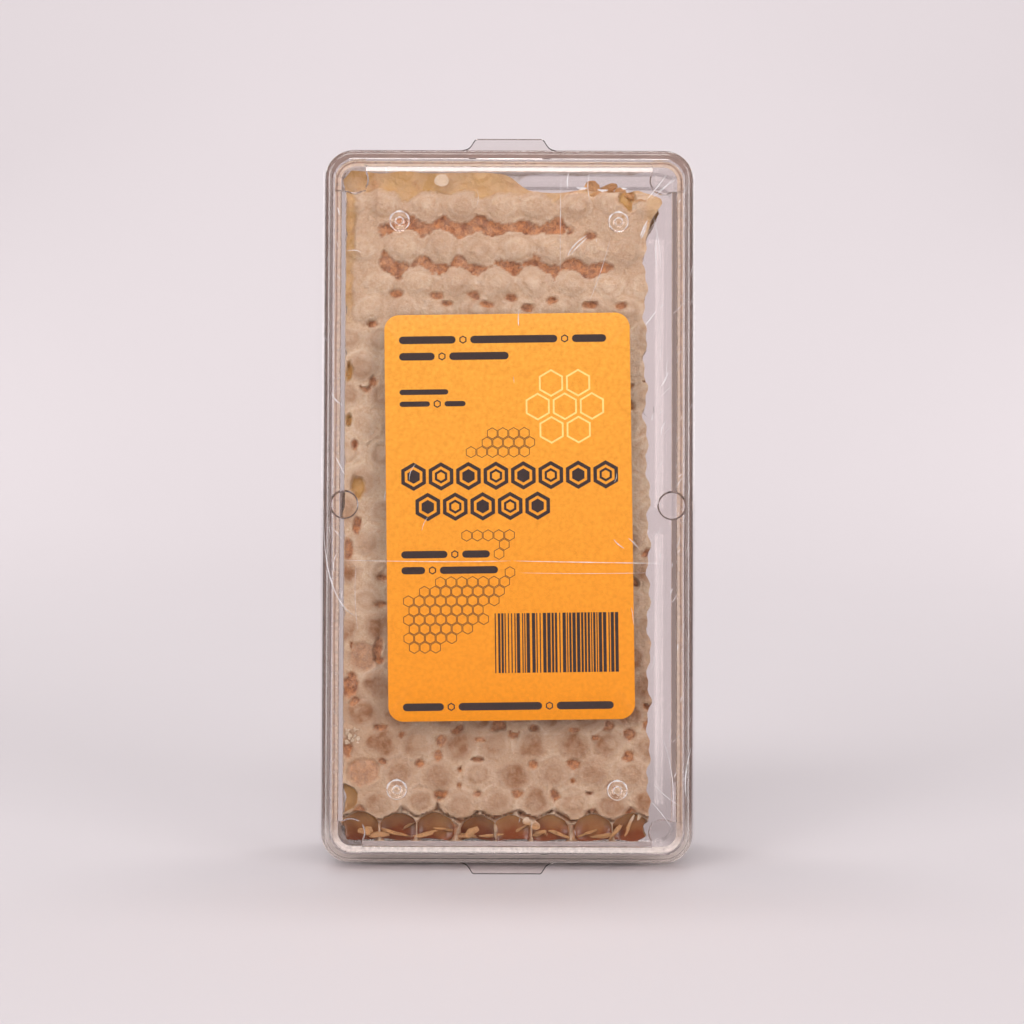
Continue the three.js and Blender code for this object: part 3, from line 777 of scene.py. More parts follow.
def front_pits(comb, at):
    """The front's pits: more of them in the lowest rows, none in the top ones or beside the cut sides."""
    none_above = ease(comb.top_row - 5.2, comb.top_row - 4.8, at.row)
    odds = 0.16 + 0.3 * (1 - ease(3.5, 5.5, at.row)) - none_above
    pits = corner_pits(at.rows, at.places, at.distances, at.rag, odds, 0.45, 0.4, 0.12, 0)
    return pits * (np.abs(at.x) < 24 * MM)


def broken_cells(at):
    """The middles of the cells whose capping is gone."""
    gone = np.zeros_like(at.x)
    for row, place in BARE_CELLS:
        own_cell = (at.row == row) & (at.place == place)
        gone = np.maximum(gone, own_cell * (1 - ease(2.1 * MM, 2.6 * MM, at.radius)))
    return gone


def skin_ends(comb, at):
    """Where the cappings have ended: at the lower end, where only thin walls are left between open
    cells, and at the top and along the upper left, where the wax is soaked."""
    capped = bells(comb, at.distances, at.rows > 0)
    roofed = bells(comb, at.distances, at.rows <= comb.top_row)
    ended = 1 - ease(-0.015, 0.02, capped + 0.12 * at.rag + 0.1 * at.fine - 0.31)
    over_top = 1 - ease(-0.015, 0.02, roofed + 0.12 * at.rag + 0.06 * at.fine - 0.27)
    thin_wall = 1 - ease(0.12 * MM, 0.4 * MM, at.gap / 2 + 0.2 * MM * at.rag)
    width = STRIP["width"] + STRIP["stray"] * (rough(at.x, at.z, 3 * MM, 57) * 2 - 1)
    strip = 1 - ease(width, width + 0.5, (at.x - comb.left) / MM)
    strip *= ease(STRIP["low"], STRIP["high"], at.z / MM)
    soft_top = np.maximum(over_top * (at.z > OPEN_ABOVE * MM), strip)
    return ended * (at.z < OPEN_BELOW * MM), thin_wall, soft_top


def front_surface(comb, x, z):
    """The front's depth behind the highest capping, and the four masks of its colours: torn wax, honey,
    honey-damp wax with painted shade, and pale wax.

    Deeper than whole cappings lie the bare, granular seams, torn spots, pits and broken cells, and the
    hollows, which hold honey. The soaked wax of the top and the upper left is a little deeper. It and the
    flap are honey-coloured, brown in patches. Wax is honey-damp in the middle of some cappings and in the
    lowest rows, and the folds of the top rows take the same darker colour as painted shade. Ridges, rings,
    lips and the walls of open cells are pale.
    """
    at = cell_pattern(comb, x, z)
    depth, ridge, ring = capping_relief(comb, at)
    seams, lip = bare_seams(at)
    bare = np.maximum(np.maximum(spots(x, z, TORN_SPOTS, 5), seams), front_pits(comb, at))
    gone = broken_cells(at)
    torn = np.maximum(bare, 0.55 * gone)
    hollow = spots(x, z, HOLLOWS, 11)
    granular = rough(x, z, 1.05 * MM, 21) - 0.5
    ended, thin_wall, soft_top = skin_ends(comb, at)
    depth += MM * (0.62 * bare + 0.5 * gone + 1.2 * hollow + 0.6 * torn * granular)
    depth += MM * ended * (1.5 - 1.0 * thin_wall)
    depth += 0.6 * MM * soft_top

    flap = ease(20.3, 21.6, x / MM) * ease(41, 43, z / MM)
    soaked = soft_top * (0.25 + 0.8 * rough(x, z, 2.2 * MM, 63)) * (1 - 0.4 * ease(-5, 3, x / MM))
    soaked = np.maximum(soaked, 0.45 * flap)
    brown = 0.8 * soft_top * ease(0.55, 0.8, rough(x, z, 1.7 * MM, 71))
    torn = np.maximum(np.maximum(torn * (1 - ended), brown), 0.9 * ended * (1 - thin_wall))
    honey = np.maximum(hollow, soaked) * (1 - 0.5 * brown)

    patches = ease(0.25, 0.75, rough(x, z, 5 * MM, 41))
    wetness = 0.25 + 0.75 * chance(at.row * 7.7 + at.place * 2.3 + 5)
    wetness *= 0.3 + 0.35 * (1 - ease(8, 17, at.row)) + 0.2 * (x < -20 * MM)
    wet_and_shade = wetness * (1 - ease(1.2 * MM, 2.9 * MM, at.radius)) * (0.5 + 1.1 * ripple(x, z, 1.5 * MM, 31))
    wet_and_shade += 0.2 * np.maximum(-ring, 0) * at.own + (0.14 + 0.3 * patches) * (1 - ease(5, 10, at.row))
    # Painted shade: the folds between the cappings of the top rows take the darker wet-wax colour.
    wet_and_shade += 0.28 * at.upper * (1 - ease(0.36, 0.75, at.skin)) * (0.4 + rough(x, z, 1.7 * MM, 67))
    pale = np.maximum(0.55 * ridge, 0.7 * lip)
    pale = pale + 0.45 * np.maximum(ring, 0) + 0.5 * ease(0.75, 1, at.skin) * at.own
    pale = np.maximum(pale * (0.3 + 1.1 * rough(x, z, 0.9 * MM, 37)), 0.6 * ended * thin_wall)
    masks = (torn * (0.8 + 0.4 * granular), honey, wet_and_shade * (1 - torn), pale * (1 - torn))
    return depth, np.clip(np.stack(masks, axis=-1), 0, 1)


def back_surface(comb, x, z):
    """The back's depth and masks: the same cappings behind the corners of the front cells, all fused,
    with a few pits where three cells meet."""
    rows, places, distances = nearest_cells(comb, x, z - back_shift(comb))
    nearest = distances[0]
    own = chance(rows[0] * 31 + places[0] * 7 + 3)
    rag = rough(x, z, 1.4 * MM, 13) - 0.5
    raised = np.exp(-((distances[1] - nearest) / 2 / (0.45 * MM)) ** 2)
    depth = 0.35 * MM * ripple(x, z, 9 * MM, 15) + comb.spread * own + 0.16 * MM * rag
    depth += 0.35 * MM * (nearest / (0.5 * comb.pitch)) ** 3 - 0.12 * MM * raised
    pit = corner_pits(rows, places, distances, rag, 0.3, 0.5, 0.5, 0.2, 1)
    depth += 1.3 * MM * pit
    wetness = 0.1 + 0.8 * chance(rows[0] * 7.7 + places[0] * 2.3)
    wet_and_shade = wetness * (1 - ease(1.3 * MM, 2.7 * MM, nearest))
    masks = (pit, np.zeros_like(x), wet_and_shade * (1 - pit), 0.7 * raised * (1 - pit))
    return depth, np.clip(np.stack(masks, axis=-1), 0, 1)


def left_edge(comb, z):
    """A straight cut with two slow waves."""
    return comb.left + MM * (0.3 + 0.2 * np.sin(1.1 * z / MM + 0.5) + 0.1 * np.sin(2.7 * z / MM + 2))


def bottom_edge(comb, x):
    """A straight cut with one slow wave."""
    return comb.bottom + MM * (0.15 + 0.15 * np.sin(0.9 * x / MM))


def right_edge(comb, z):
    """A straight cut with two slow waves, a little further in at its upper half, and a three-cornered
    flap of wax that leans out at its top."""
    wave = 0.3 * np.sin(0.8 * z / MM) + 0.2 * np.sin(2.1 * z / MM + 1)
    flap = np.interp(z / MM, (FLAP["low"], FLAP["tip"], FLAP["high"]), (0, 1, 0))
    inner = wave - 0.6 * ease(-2, 16, z / MM)
    return comb.right + MM * (inner * (1 - flap) + FLAP["reach"] * flap)


def top_edge(comb, x):
    """A cut with one slow wave that steps down to the right."""
    fall = ease(TOP_STEP["x"], TOP_STEP["x"] + TOP_STEP["run"], x / MM)
    return comb.top + MM * (-0.1 + 0.15 * np.sin(0.7 * x / MM) - TOP_STEP["drop"] * fall)


def comb_outline(comb, inset=0.0, step=0.7 * MM):
    """The comb's four cut sides as one closed line, each run along in turn."""
    corner = 1 * MM
    across = np.arange(comb.left + corner, comb.right - corner, step)
    up = np.arange(comb.bottom + corner, comb.top - corner, step)
    up_right = up[up < comb.top - TOP_STEP["drop"] * MM - corner]
    sides = [
        np.stack([across, bottom_edge(comb, across) + inset], axis=-1),
        np.stack([right_edge(comb, up_right) - inset, up_right], axis=-1),
        np.stack([across[::-1], top_edge(comb, across[::-1]) - inset], axis=-1),
        np.stack([left_edge(comb, up[::-1]) + inset, up[::-1]], axis=-1),
    ]
    return np.concatenate(sides)


def outline_block(comb, near, far, inset=0.0):
    """The comb's outline carried from one depth to another in steps."""
    outline = comb_outline(comb, inset)
    depths = np.linspace(near, far, max(2, int((far - near) / (1.2 * MM))))
    rings = [np.insert(outline, 1, depth, axis=1) for depth in depths]
    return plain_object("outline", np.concatenate(rings), tube_faces(len(rings), len(outline)))


def relief_block(comb, name, surface, face, towards, flat, step):
    """A block whose outer face is a relief over the comb's whole area: for each point of a fine grid,
    the face's depth plus the surface's. Its sides drop straight to a flat face at the midrib."""
    margin = 1 * MM
    x, z = np.meshgrid(
        np.arange(comb.left - margin, comb.right + FLAP["reach"] * MM + margin, step),
        np.arange(comb.bottom - margin, comb.top + margin, step), indexing="ij")
    depth, _ = surface(comb, x.ravel(), z.ravel())
    top = np.stack([x.ravel(), face + towards * depth, z.ravel()], axis=-1)
    across, along = x.shape
    index = np.arange(across * along).reshape(across, along)
    border = np.concatenate([index[:, 0], index[-1, 1:], index[-2::-1, -1], index[0, -2:0:-1]])
    base = top[border] * [1, 0, 1] + [0, flat, 0]
    under = len(top) + np.arange(len(border))
    sides = np.stack([border, np.roll(border, -1), np.roll(under, -1), under], axis=-1)
    faces = grid_quads(across, along).tolist() + sides.tolist() + [under.tolist()]
    return plain_object(name, np.concatenate([top, base]), faces)


def cut_cells(comb, shift):
    """The rows, places and middles of the cells that lie close to one of the comb's cut sides."""
    rows = np.arange(-1, comb.top_row + 2)
    row, place = np.meshgrid(rows, np.arange(-comb.half_row, comb.half_row + 1), indexing="ij")
    row, place = row.ravel(), place.ravel()
    x, z = cell_middle(comb, row, place)
    z = z + shift
    near_side = np.minimum(abs(x - comb.left), abs(x - comb.right)) < CUT_REACH
    near_end = (z < comb.bottom + 2.4 * MM) | (z > top_edge(comb, x) - 1.6 * MM)
    chosen = (near_side | near_end) & (x > comb.left - CUT_REACH) & (x < comb.right + CUT_REACH)
    return row[chosen], place[chosen], x[chosen], z[chosen]


def cell_prisms(comb, x, z, mouth, foot, radius, dish):
    """Six-sided cells from their mouths to their feet, each leaned so that the mouth is higher. Their
    corners are a little round and their ends may be dished."""
    sides = 18
    angle = np.arange(sides) / sides * 2 * math.pi
    within = (angle + math.pi / 2) % (math.pi / 3) - math.pi / 6
    hexagon = math.cos(math.pi / 6) / np.cos(within)
    shape_x, shape_z = np.cos(angle) * hexagon, np.sin(angle) * hexagon * comb.squash
    share = np.array([0.35, 0.75, 0.93, 1, 1, 1, 1, 1, 1, 1, 1])
    along = np.array([0, 0, 0, 0, 0.02, 0.15, 0.3, 0.5, 0.7, 0.85, 1])
    sunk = np.array([1, 0.8, 0.35, 0, 0, 0, 0, 0, 0, 0, 0]) * dish
    span = (foot - mouth)[:, None]
    y = mouth[:, None] + along * span + sunk * np.sign(span)
    drop = np.abs(y - (mouth + foot)[:, None] / 2) * math.tan(comb.slope)
    towards_mouth = np.sign((mouth + foot)[:, None] / 2 - y) * np.sign(span)
    middle_z = z[:, None] + towards_mouth * drop
    radius = np.reshape(radius, (-1, 1, 1))
    ring_x = x[:, None, None] + radius * share[:, None] * shape_x
    ring_z = middle_z[:, :, None] + radius * share[:, None] * shape_z
    ring_y = np.broadcast_to(y[:, :, None], ring_x.shape)
    rings = np.stack([ring_x, ring_y, ring_z], axis=-1).reshape(len(x), -1, 3)
    first = np.stack([x, y[:, 0], middle_z[:, 0]], axis=-1)[:, None]
    last = np.stack([x, y[:, -1], middle_z[:, -1]], axis=-1)[:, None]
    points = np.concatenate([first, last, rings], axis=1).reshape(-1, 3)
    return plain_object("cells", points, pole_faces(len(share), sides, len(x)))


def front_mouths(comb, row, x):
    """Where the cut cells at the front begin, and which of them are open: those of the lower end begin
    before the surface, and the rest are cut from the side alone and begin under their cappings."""
    is_open = (row <= 0) | ((row <= 1) & (x < comb.left + CUT_REACH))
    roof = np.where(row >= comb.top_row - 2, 2.9 * MM, 1.8 * MM)
    return np.where(is_open, comb.front - 1 * MM, comb.front + roof), is_open


def front_radii(comb, row, x):
    """The size of the cut cells at the front: those at the left-hand side are partly grown over."""
    grown = (x < comb.left + CUT_REACH) & (row > 0)
    share = np.where(grown, 0.62 + 0.3 * chance(row * 2.1), 1)
    return (comb.pitch - comb.thin_wall) / math.sqrt(3) * share


def feet(comb, is_open):
    """How deep the cut cells at the front go."""
    return np.where(is_open, comb.front + 8 * MM, comb.midrib - 1 * MM)


def warp_mesh(comb, item):
    """Moves every point a little by smooth noise of its place, so that no cut is quite straight."""
    points = coordinates(item.data)
    x, y, z = points.T
    size = 2.3 * MM
    shifts = [
        ripple(y + 0.37 * x, z, size, 51), ripple(x, z + 0.4 * y, size, 52) * 0.6,
        ripple(x, y + 0.31 * z, size, 53)]
    moved = points + (np.stack(shifts, axis=-1) - 0.5) * 2 * comb.warp
    item.data.vertices.foreach_set("co", moved.astype(np.float32).ravel())
    item.data.update()


def keep_largest(item):
    """Leaves only the largest connected body of the mesh."""
    bpy.ops.object.select_all(action="DESELECT")
    bpy.context.view_layer.objects.active = item
    item.select_set(True)
    before = set(bpy.context.scene.objects)
    bpy.ops.object.mode_set(mode="EDIT")
    bpy.ops.mesh.select_all(action="SELECT")
    bpy.ops.mesh.separate(type="LOOSE")
    bpy.ops.object.mode_set(mode="OBJECT")
    item.select_set(False)
    parts = [item, *(set(bpy.context.scene.objects) - before)]
    largest = max(parts, key=lambda part: len(part.data.vertices))
    if largest is not item:
        item.data, largest.data = largest.data, item.data
        largest = item
    for part in parts:
        if part is not largest:
            bpy.data.objects.remove(part)


def paint_tones(comb, item, surface, face, towards):
    """Writes the colour masks to the mesh: the surface's own on the relief, and honey-soaked wax on the cut
    sides and in the cells, darker the deeper they lie, partly for the honey and partly as painted shade."""
    x, y, z = pack_coordinates(item.data).T
    depth, masks = surface(comb, x, z)
    sunk = (y - face) * towards - depth
    inner = ease(0.25 * MM, 0.7 * MM, sunk)[:, None]
    # Painted shade, partly: the deeper a wall lies in its cell, the more of the darker colours it takes.
    deep = ease(1 * MM, 7 * MM, sunk)
    patches = rough(y, z + x, 1.8 * MM, 61)
    walls = np.stack([0.1 * patches, 0.25 + 0.5 * deep * patches, 0.25 + 0.5 * deep,
                      (1 - deep) * ease(0.4, 0.8, patches)], axis=-1)
    point_values(item, "comb_tone", "FLOAT_COLOR", masks * (1 - inner) + walls * inner)


def finish_layer(comb, item, surface, face, towards):
    """Cleans up a layer of the comb once it is cut, and gives it its colours and its warp."""
    keep_largest(item)
    paint_tones(comb, item, surface, face, towards)
    warp_mesh(comb, item)
    finish_piece(item, comb_wax_finish, "comb", 65)


def back_cells(comb, short, wider, dish):
    """The cut cells of the back, from under their cappings to the midrib, each shorter and wider by a
    little."""
    _, _, x, z = cut_cells(comb, back_shift(comb))
    mouth = np.full_like(x, comb.back - 1.8 * MM - short)
    foot = np.full_like(x, comb.midrib + 1 * MM + short)
    return cell_prisms(comb, x, z, mouth, foot, (comb.pitch - comb.wall) / math.sqrt(3) + wider, dish)


class COMBPACK_OT_comb(Operator):
    """Builds the comb as a front and a back layer of capped cells, cut through at its four sides"""
    bl_idname = "combpack.comb"
    bl_label = "Comb"

    def execute(self, context):
        comb = settings("comb")
        front = relief_block(comb, "comb_front", front_surface, comb.front, 1, comb.midrib, comb.grain)
        join_shapes(front, outline_block(comb, comb.front - 1 * MM, comb.midrib + 1 * MM), "INTERSECT")
        row, _, x, z = cut_cells(comb, 0)
        mouth, is_open = front_mouths(comb, row, x)
        cells = cell_prisms(comb, x, z, mouth, feet(comb, is_open), front_radii(comb, row, x), 0)
        join_shapes(front, cells, "DIFFERENCE")
        finish_layer(comb, front, front_surface, comb.front, 1)

        back = relief_block(comb, "comb_back", back_surface, comb.back, -1, comb.midrib, comb.back_grain)
        join_shapes(back, outline_block(comb, comb.midrib - 1 * MM, comb.back + 1 * MM), "INTERSECT")
        join_shapes(back, back_cells(comb, 0, 0, 0), "DIFFERENCE")
        finish_layer(comb, back, back_surface, comb.back, -1)
        return {"FINISHED"}


class COMBPACK_OT_honey(Operator):
    """Fills the cut cells with honey, which reaches a hair into their walls and stops short of the cut"""
    bl_idname = "combpack.honey"
    bl_label = "Honey"

    def execute(self, context):
        comb = settings("comb")
        clear = 0.05 * MM
        row, place, x, z = cut_cells(comb, 0)
        mouth, is_open = front_mouths(comb, row, x)
        level = (0.9 + 1.1 * chance(row * 3.3 + place * 1.7)) * MM
        level = level + np.where(row <= 0, 1.7 * MM, 1 * MM)
        mouth = mouth + np.where(is_open, level, clear)
        foot = feet(comb, is_open) - clear
        radius = front_radii(comb, row, x) + 0.1 * MM
        front = cell_prisms(comb, x, z, mouth, foot, radius, 0.45 * MM)
        join_shapes(front, outline_block(comb, comb.front, comb.midrib, 0.35 * MM), "INTERSECT")
        front.name = "honey_front"
        finish_piece(front, honey_finish, "comb", 50)

        back = back_cells(comb, clear, 0.04 * MM, 0.2 * MM)
        join_shapes(back, outline_block(comb, comb.midrib, comb.back, 0.45 * MM), "INTERSECT")
        back.name = "honey_back"
        finish_piece(back, honey_finish, "comb", 50)
        return {"FINISHED"}


# Flakes of wax as (x, z, depth behind the front, half length, half width, turn), in millimetres and
# degrees: a round chip and torn sheets at the top, rags along the bottom, and a few flakes on the sides.
FLAKES = (
    (-10.3, 49.6, -0.8, 1.25, 1.2, 20),
    (12.6, 49.0, 3.0, 1.7, 1.3, 60), (15.0, 48.6, 4.0, 2.2, 1.2, 10), (17.2, 48.0, 3.0, 1.6, 1.1, -30),
    (13.4, 47.6, 1.0, 1.5, 0.9, 15), (11.0, 48.0, 1.6, 1.0, 0.7, 80), (19.3, 47.4, 1.4, 1.6, 0.7, -12),
    (-5.4, -49.6, 0.9, 1.3, 0.8, 30), (4.2, -48.5, 0.5, 0.8, 1.0, 80),
    (4.9, -49.7, 1.2, 1.2, 0.5, 10), (-21.4, -49.4, 0.6, 1.4, 0.7, -15), (-17.2, -49.7, 1.6, 2.4, 0.4, -12),
    (-12.4, -49.9, 1.2, 2.6, 0.35, 14), (-8.9, -49.3, 2.0, 2.3, 0.3, -8), (-2.4, -50.1, 1.0, 1.8, 0.35, 4),
    (1.6, -49.4, 1.5, 1.9, 0.3, 38), (8.1, -49.9, 1.2, 2.3, 0.35, -16), (12.0, -49.8, 1.7, 2.0, 0.3, 20),
    (-19.4, -50.0, 0.9, 2.2, 0.45, 5), (-6.0, -50.2, 1.5, 2.0, 0.4, -6), (6.4, -49.3, 1.9, 1.4, 0.3, 55),
    (14.6, -50.1, 1.3, 2.2, 0.4, 3), (-15.0, -48.7, 2.3, 1.2, 0.25, 35), (10.0, -48.9, 2.4, 1.3, 0.25, -40),
    (16.5, -49.4, 1.0, 1.8, 0.4, 55), (18.6, -48.4, 0.9, 1.9, 0.35, 64), (20.3, -46.6, 0.7, 1.5, 0.4, 70),
    (3.0, -47.9, 0.2, 0.9, 0.6, -30), (19.9, 45.9, 0.2, 1.5, 1.2, 60), (-23.6, 22.4, 0.3, 0.8, 0.6, 0),
)
# A patch of crumbs on the left-hand side.
CRUMBS = {"count": 26, "x": (-24.4, -22.4), "z": (-36.2, -34.0)}


def flakes(name, x, z, depth, half_length, half_width, turn):
    """Thin closed flakes: rings of a wavy outline over a lens-shaped section, turned in the front's
    plane and bent a little by a slow wave. Round flakes have a calmer outline than long ones."""
    sides, thickness = 16, 0.16 * MM
    number = np.arange(len(x))[:, None, None]
    x, z, depth, half_length, half_width, turn = (
        part[:, None, None] for part in (x, z, depth, half_length, half_width, turn))
    angle = np.arange(sides) / sides * 2 * math.pi
    share = np.array([0.5, 0.86, 1, 0.86, 0.5])[:, None]
    lift = np.array([-1, -0.75, 0, 0.75, 1])[:, None]
    wave = sum(0.38 / order * np.cos(order * angle + 6.3 * chance(number * order + order))
               for order in (2, 3, 5, 7))
    reach = share * (0.85 + wave * np.clip(half_length / half_width - 0.8, 0.25, 1))
    across, along = reach * np.cos(angle) * half_length, reach * np.sin(angle) * half_width
    bow = 0.22 * half_length * np.sin(across / half_length * 2.1 + number)
    ring_x = x + across * np.cos(turn) - along * np.sin(turn)
    ring_z = z + across * np.sin(turn) + along * np.cos(turn)
    ring_y = depth + bow + thickness * (0.7 + 0.6 * chance(number * 1.9)) * lift
    rings = np.stack(np.broadcast_arrays(ring_x, ring_y, ring_z), axis=-1)
    poles = rings[:, [0, -1]].mean(axis=2)
    points = np.concatenate([poles, rings.reshape(len(x), -1, 3)], axis=1)
    return plain_object(name, points.reshape(-1, 3), pole_faces(len(share), sides, len(x)))


class COMBPACK_OT_scraps(Operator):
    """Scatters the torn flakes and crumbs of wax"""
    bl_idname = "combpack.scraps"
    bl_label = "Wax scraps"

    def execute(self, context):
        comb = settings("comb")
        number = np.arange(CRUMBS["count"])
        crumbs = np.stack([
            CRUMBS["x"][0] + (CRUMBS["x"][1] - CRUMBS["x"][0]) * chance(number * 1.3),
            CRUMBS["z"][0] + (CRUMBS["z"][1] - CRUMBS["z"][0]) * chance(number * 2.9),
            -0.5 + 0.8 * chance(number * 3.7), 0.15 + 0.4 * chance(number * 4.1) ** 2,
            0.15 + 0.3 * chance(number * 5.3) ** 2, 360 * chance(number * 6.7)], axis=-1)
        x, z, depth, half_length, half_width, turn = np.concatenate([FLAKES, crumbs]).T
        scraps = flakes("wax_scraps", x * MM, z * MM, comb.front + (depth + 0.4) * MM, half_length * MM,
                        half_width * MM, np.radians(turn))
        x, _, z = pack_coordinates(scraps.data).T
        pale = 0.35 + 0.6 * ripple(x, z, 2 * MM, 81)
        top_right = ease(10, 12, x / MM) * ease(46, 47, z / MM)
        low = top_right + 1 - ease(-48.6, -47.6, z / MM)
        tones = [0.65 * low, 0.4 * low, 0.3 * (1 - pale) + 0.3 * low, pale * (1 - 0.8 * low)]
        point_values(scraps, "comb_tone", "FLOAT_COLOR", np.stack(tones, axis=-1))
        finish_piece(scraps, comb_wax_finish, "comb", 60)
        return {"FINISHED"}


def edge_ring(name, width, height, corner, outer, inner, near, far):
    """A flat band round a rounded rectangle, between two insets and two depths."""
    loops = section_loops(width, height, corner, [(outer, near), (outer, far), (inner, far), (inner, near)])
    return plain_object(name, np.concatenate(loops), ring_faces(4, len(loops[0])))


class COMBPACK_OT_edges(Operator):
    """Adds the matt end of the lid's skirt, and the smear of wax and honey on the tray's rim"""
    bl_idname = "combpack.edges"
    bl_label = "Edges"

    def execute(self, context):
        box = settings("box")
        outer = 0.1 * MM
        edge = edge_ring("lid_edge", box.lid_width, box.lid_height, box.lid_corner, outer,
                         box.lid_wall - 0.1 * MM, box.lid_depth - 0.12 * MM, box.lid_depth - 0.05 * MM)
        finish_piece(edge, matt_plastic_edge_finish, "lid", 30)
        smear = edge_ring("rim_smear", box.tray_width, box.tray_height, box.tray_corner, outer,
                          box.tray_wall - 0.06 * MM, box.tray_front - 0.12 * MM, box.tray_front - 0.03 * MM)
        point_values(smear, "across", "FLOAT", np.repeat([0, 0, 1, 1], len(smear.data.vertices) // 4))
        finish_piece(smear, wax_smear_finish, "comb", 30)
        return {"FINISHED"}


# --- label ---

# Printed bars as (left, middle height, height, lengths of the bars), in millimetres from the label's
# middle. A small six-sided dot stands after each bar but the last.
BARS = (
    (-16.4, 26.9, 1.15, (8.6, 13.2, 5.2)), (-16.4, 24.4, 1.15, (5.4, 9.0)), (-16.4, 19.0, 0.8, (7.4,)),
    (-16.4, 17.2, 0.8, (4.6, 3.2)), (-16.4, -5.6, 1.1, (7.0, 4.2)), (-16.4, -8.0, 1.1, (3.6, 8.8)),
    (-16.4, -28.6, 1.15, (6.2, 12.6, 8.6)),
)
# Rows of bold six-sided figures as (left, middle height, how many). Below them are a rosette of rings,
# a mesh of small cells and a row of stripes.
BOLD_ROWS = {"height": 4.3, "step": 4.15, "rows": ((-14.4, 6.2, 8), (-12.3, 1.6, 5))}
ROSETTE = {"x": 8.6, "z": 16.6, "radius": 2.1, "step": 4.1, "line": 0.3}
MESH = {"pitch": 1.62, "line": 0.11, "left": -15.6, "right": 15.6, "bottom": -20.0, "top": 14.0}
STRIPES = {"left": -2.4, "right": 16.2, "bottom": -23.6, "top": -14.6, "step": 0.165}
# How far the printed shapes reach into the paper.
SUNK = 0.01 * MM


def on_label(x, z, depth):
    """Points of the label's own plane as points of the pack: turned with the label and moved to it.
    The depth is measured outwards from the label's face."""
    label = settings("label")
    cosine, sine = math.cos(label.turn), math.sin(label.turn)
    y = np.broadcast_to(-label.gap - label.thickness - depth, np.shape(x))
    return np.stack([label.x + x * cosine - z * sine, y, label.z + x * sine + z * cosine], axis=-1)


def gather(name, shapes):
    """One piece of several closed shapes, each given as its points and its faces."""
    points, faces, count = [], [], 0
    for shape_points, shape_faces in shapes:
        points.append(shape_points)
        faces += [[corner + count for corner in face] for face in shape_faces]
        count += len(shape_points)
    return plain_object(name, np.concatenate(points), faces)


def blocks(boxes, depth, round_share=0.28):
    """Flat blocks with round corners, for (x, z, width, height) rows: each corner is a quarter circle
    of four points, carried from the paper to the depth."""
    x, z, width, height = np.array(boxes).T[:, :, None] * MM
    turn = np.linspace(0, math.pi / 2, 4)
    angle = np.concatenate([turn + corner * math.pi / 2 for corner in range(4)])
    radius = round_share * np.minimum(width, height)
    side_x = np.repeat([1, -1, -1, 1], 4)
    side_z = np.repeat([1, 1, -1, -1], 4)
    across = x + side_x * (width / 2 - radius) + radius * np.cos(angle)
    along = z + side_z * (height / 2 - radius) + radius * np.sin(angle)
    rings = np.stack([on_label(across, along, -SUNK), on_label(across, along, depth)], axis=1)
    return rings.reshape(-1, 3), tube_faces(2, len(angle), len(boxes))


def six_sided(places, section):
    """Points of six-sided figures at (x, z) places: six corners for each (radius, height) of a section."""
    x, z = np.array(places, float).T[:, :, None] * MM
    angle = (np.arange(6) + 0.5) * math.pi / 3
    rings = [on_label(x + radius * MM * np.cos(angle), z + radius * MM * np.sin(angle), height)
             for radius, height in section]
    return np.stack(rings, axis=1).reshape(-1, 3)


def hexagons(places, radius, line, height):
    """Flat six-sided rings, whose square section runs round each one."""
    inner = radius - line
    section = [(radius, height), (inner, height), (inner, -SUNK), (radius, -SUNK)]
    return six_sided(places, section), ring_faces(4, 6, len(places))


def full_hexagons(places, radius, height):
    """Flat filled six-sided figures."""
    return six_sided(places, [(radius, -SUNK), (radius, height)]), tube_faces(2, 6, len(places))


def bar_places():
    """The boxes of all printed bars and the places of the dots between them."""
    boxes, dots = [], []
    space = 2.2
    for left, middle, height, lengths in BARS:
        at = left
        for number, bar in enumerate(lengths):
            boxes.append((at + bar / 2, middle, bar, height))
            at += bar + space
            if number < len(lengths) - 1:
                dots.append((at - space / 2, middle))
    return boxes, dots


def bold_places():
    """The places of the bold figures, row by row."""
    return [(left + BOLD_ROWS["step"] * number, middle)
            for left, middle, count in BOLD_ROWS["rows"] for number in range(count)]


def stripe_boxes():
    """A row of upright stripes, one to three steps wide with gaps of one or two steps."""
    placed = []
    at, count, step = STRIPES["left"], 0, STRIPES["step"]
    middle = (STRIPES["bottom"] + STRIPES["top"]) / 2
    height = STRIPES["top"] - STRIPES["bottom"]
    while at < STRIPES["right"]:
        width = step * (1 + int(3 * chance(count + 0.5)))
        placed.append((at + width / 2, middle, width, height))
        at += width + step * (1 + int(2 * chance(count * 3 + 1)))
        count += 1
    return placed


def mesh_places(covered):
    """The middles of the mesh's cells: a lattice within a wavy, slanting band, clear of the rosette, the
    stripes and the covered boxes."""
    row, place = np.meshgrid(np.arange(-16, 17), np.arange(-16, 17), indexing="ij")
    x = (place + 0.5 * (row % 2)).ravel() * MESH["pitch"]
    z = row.ravel() * (MESH["pitch"] * math.sqrt(3) / 2)
    slope = 0.5 * (z - MESH["bottom"]) + MESH["left"]
    chosen = (x > MESH["left"]) & (x < MESH["right"]) & (z > MESH["bottom"]) & (z < MESH["top"])
    chosen &= np.abs(x - slope - 2 + 3 * np.sin(z / 5)) < 5.5 + 2 * np.sin(z / 3)
    chosen &= np.hypot(x - ROSETTE["x"], z - ROSETTE["z"]) > ROSETTE["step"] + ROSETTE["radius"] + 0.9
    chosen &= (x < STRIPES["left"] - 1) | (z > STRIPES["top"] + 1)
    around = 1.1
    for middle_x, middle_z, width, height in covered:
        chosen &= ((np.abs(x - middle_x) > width / 2 + around)
                   | (np.abs(z - middle_z) > height / 2 + around))
    return np.stack([x[chosen], z[chosen]], axis=-1)


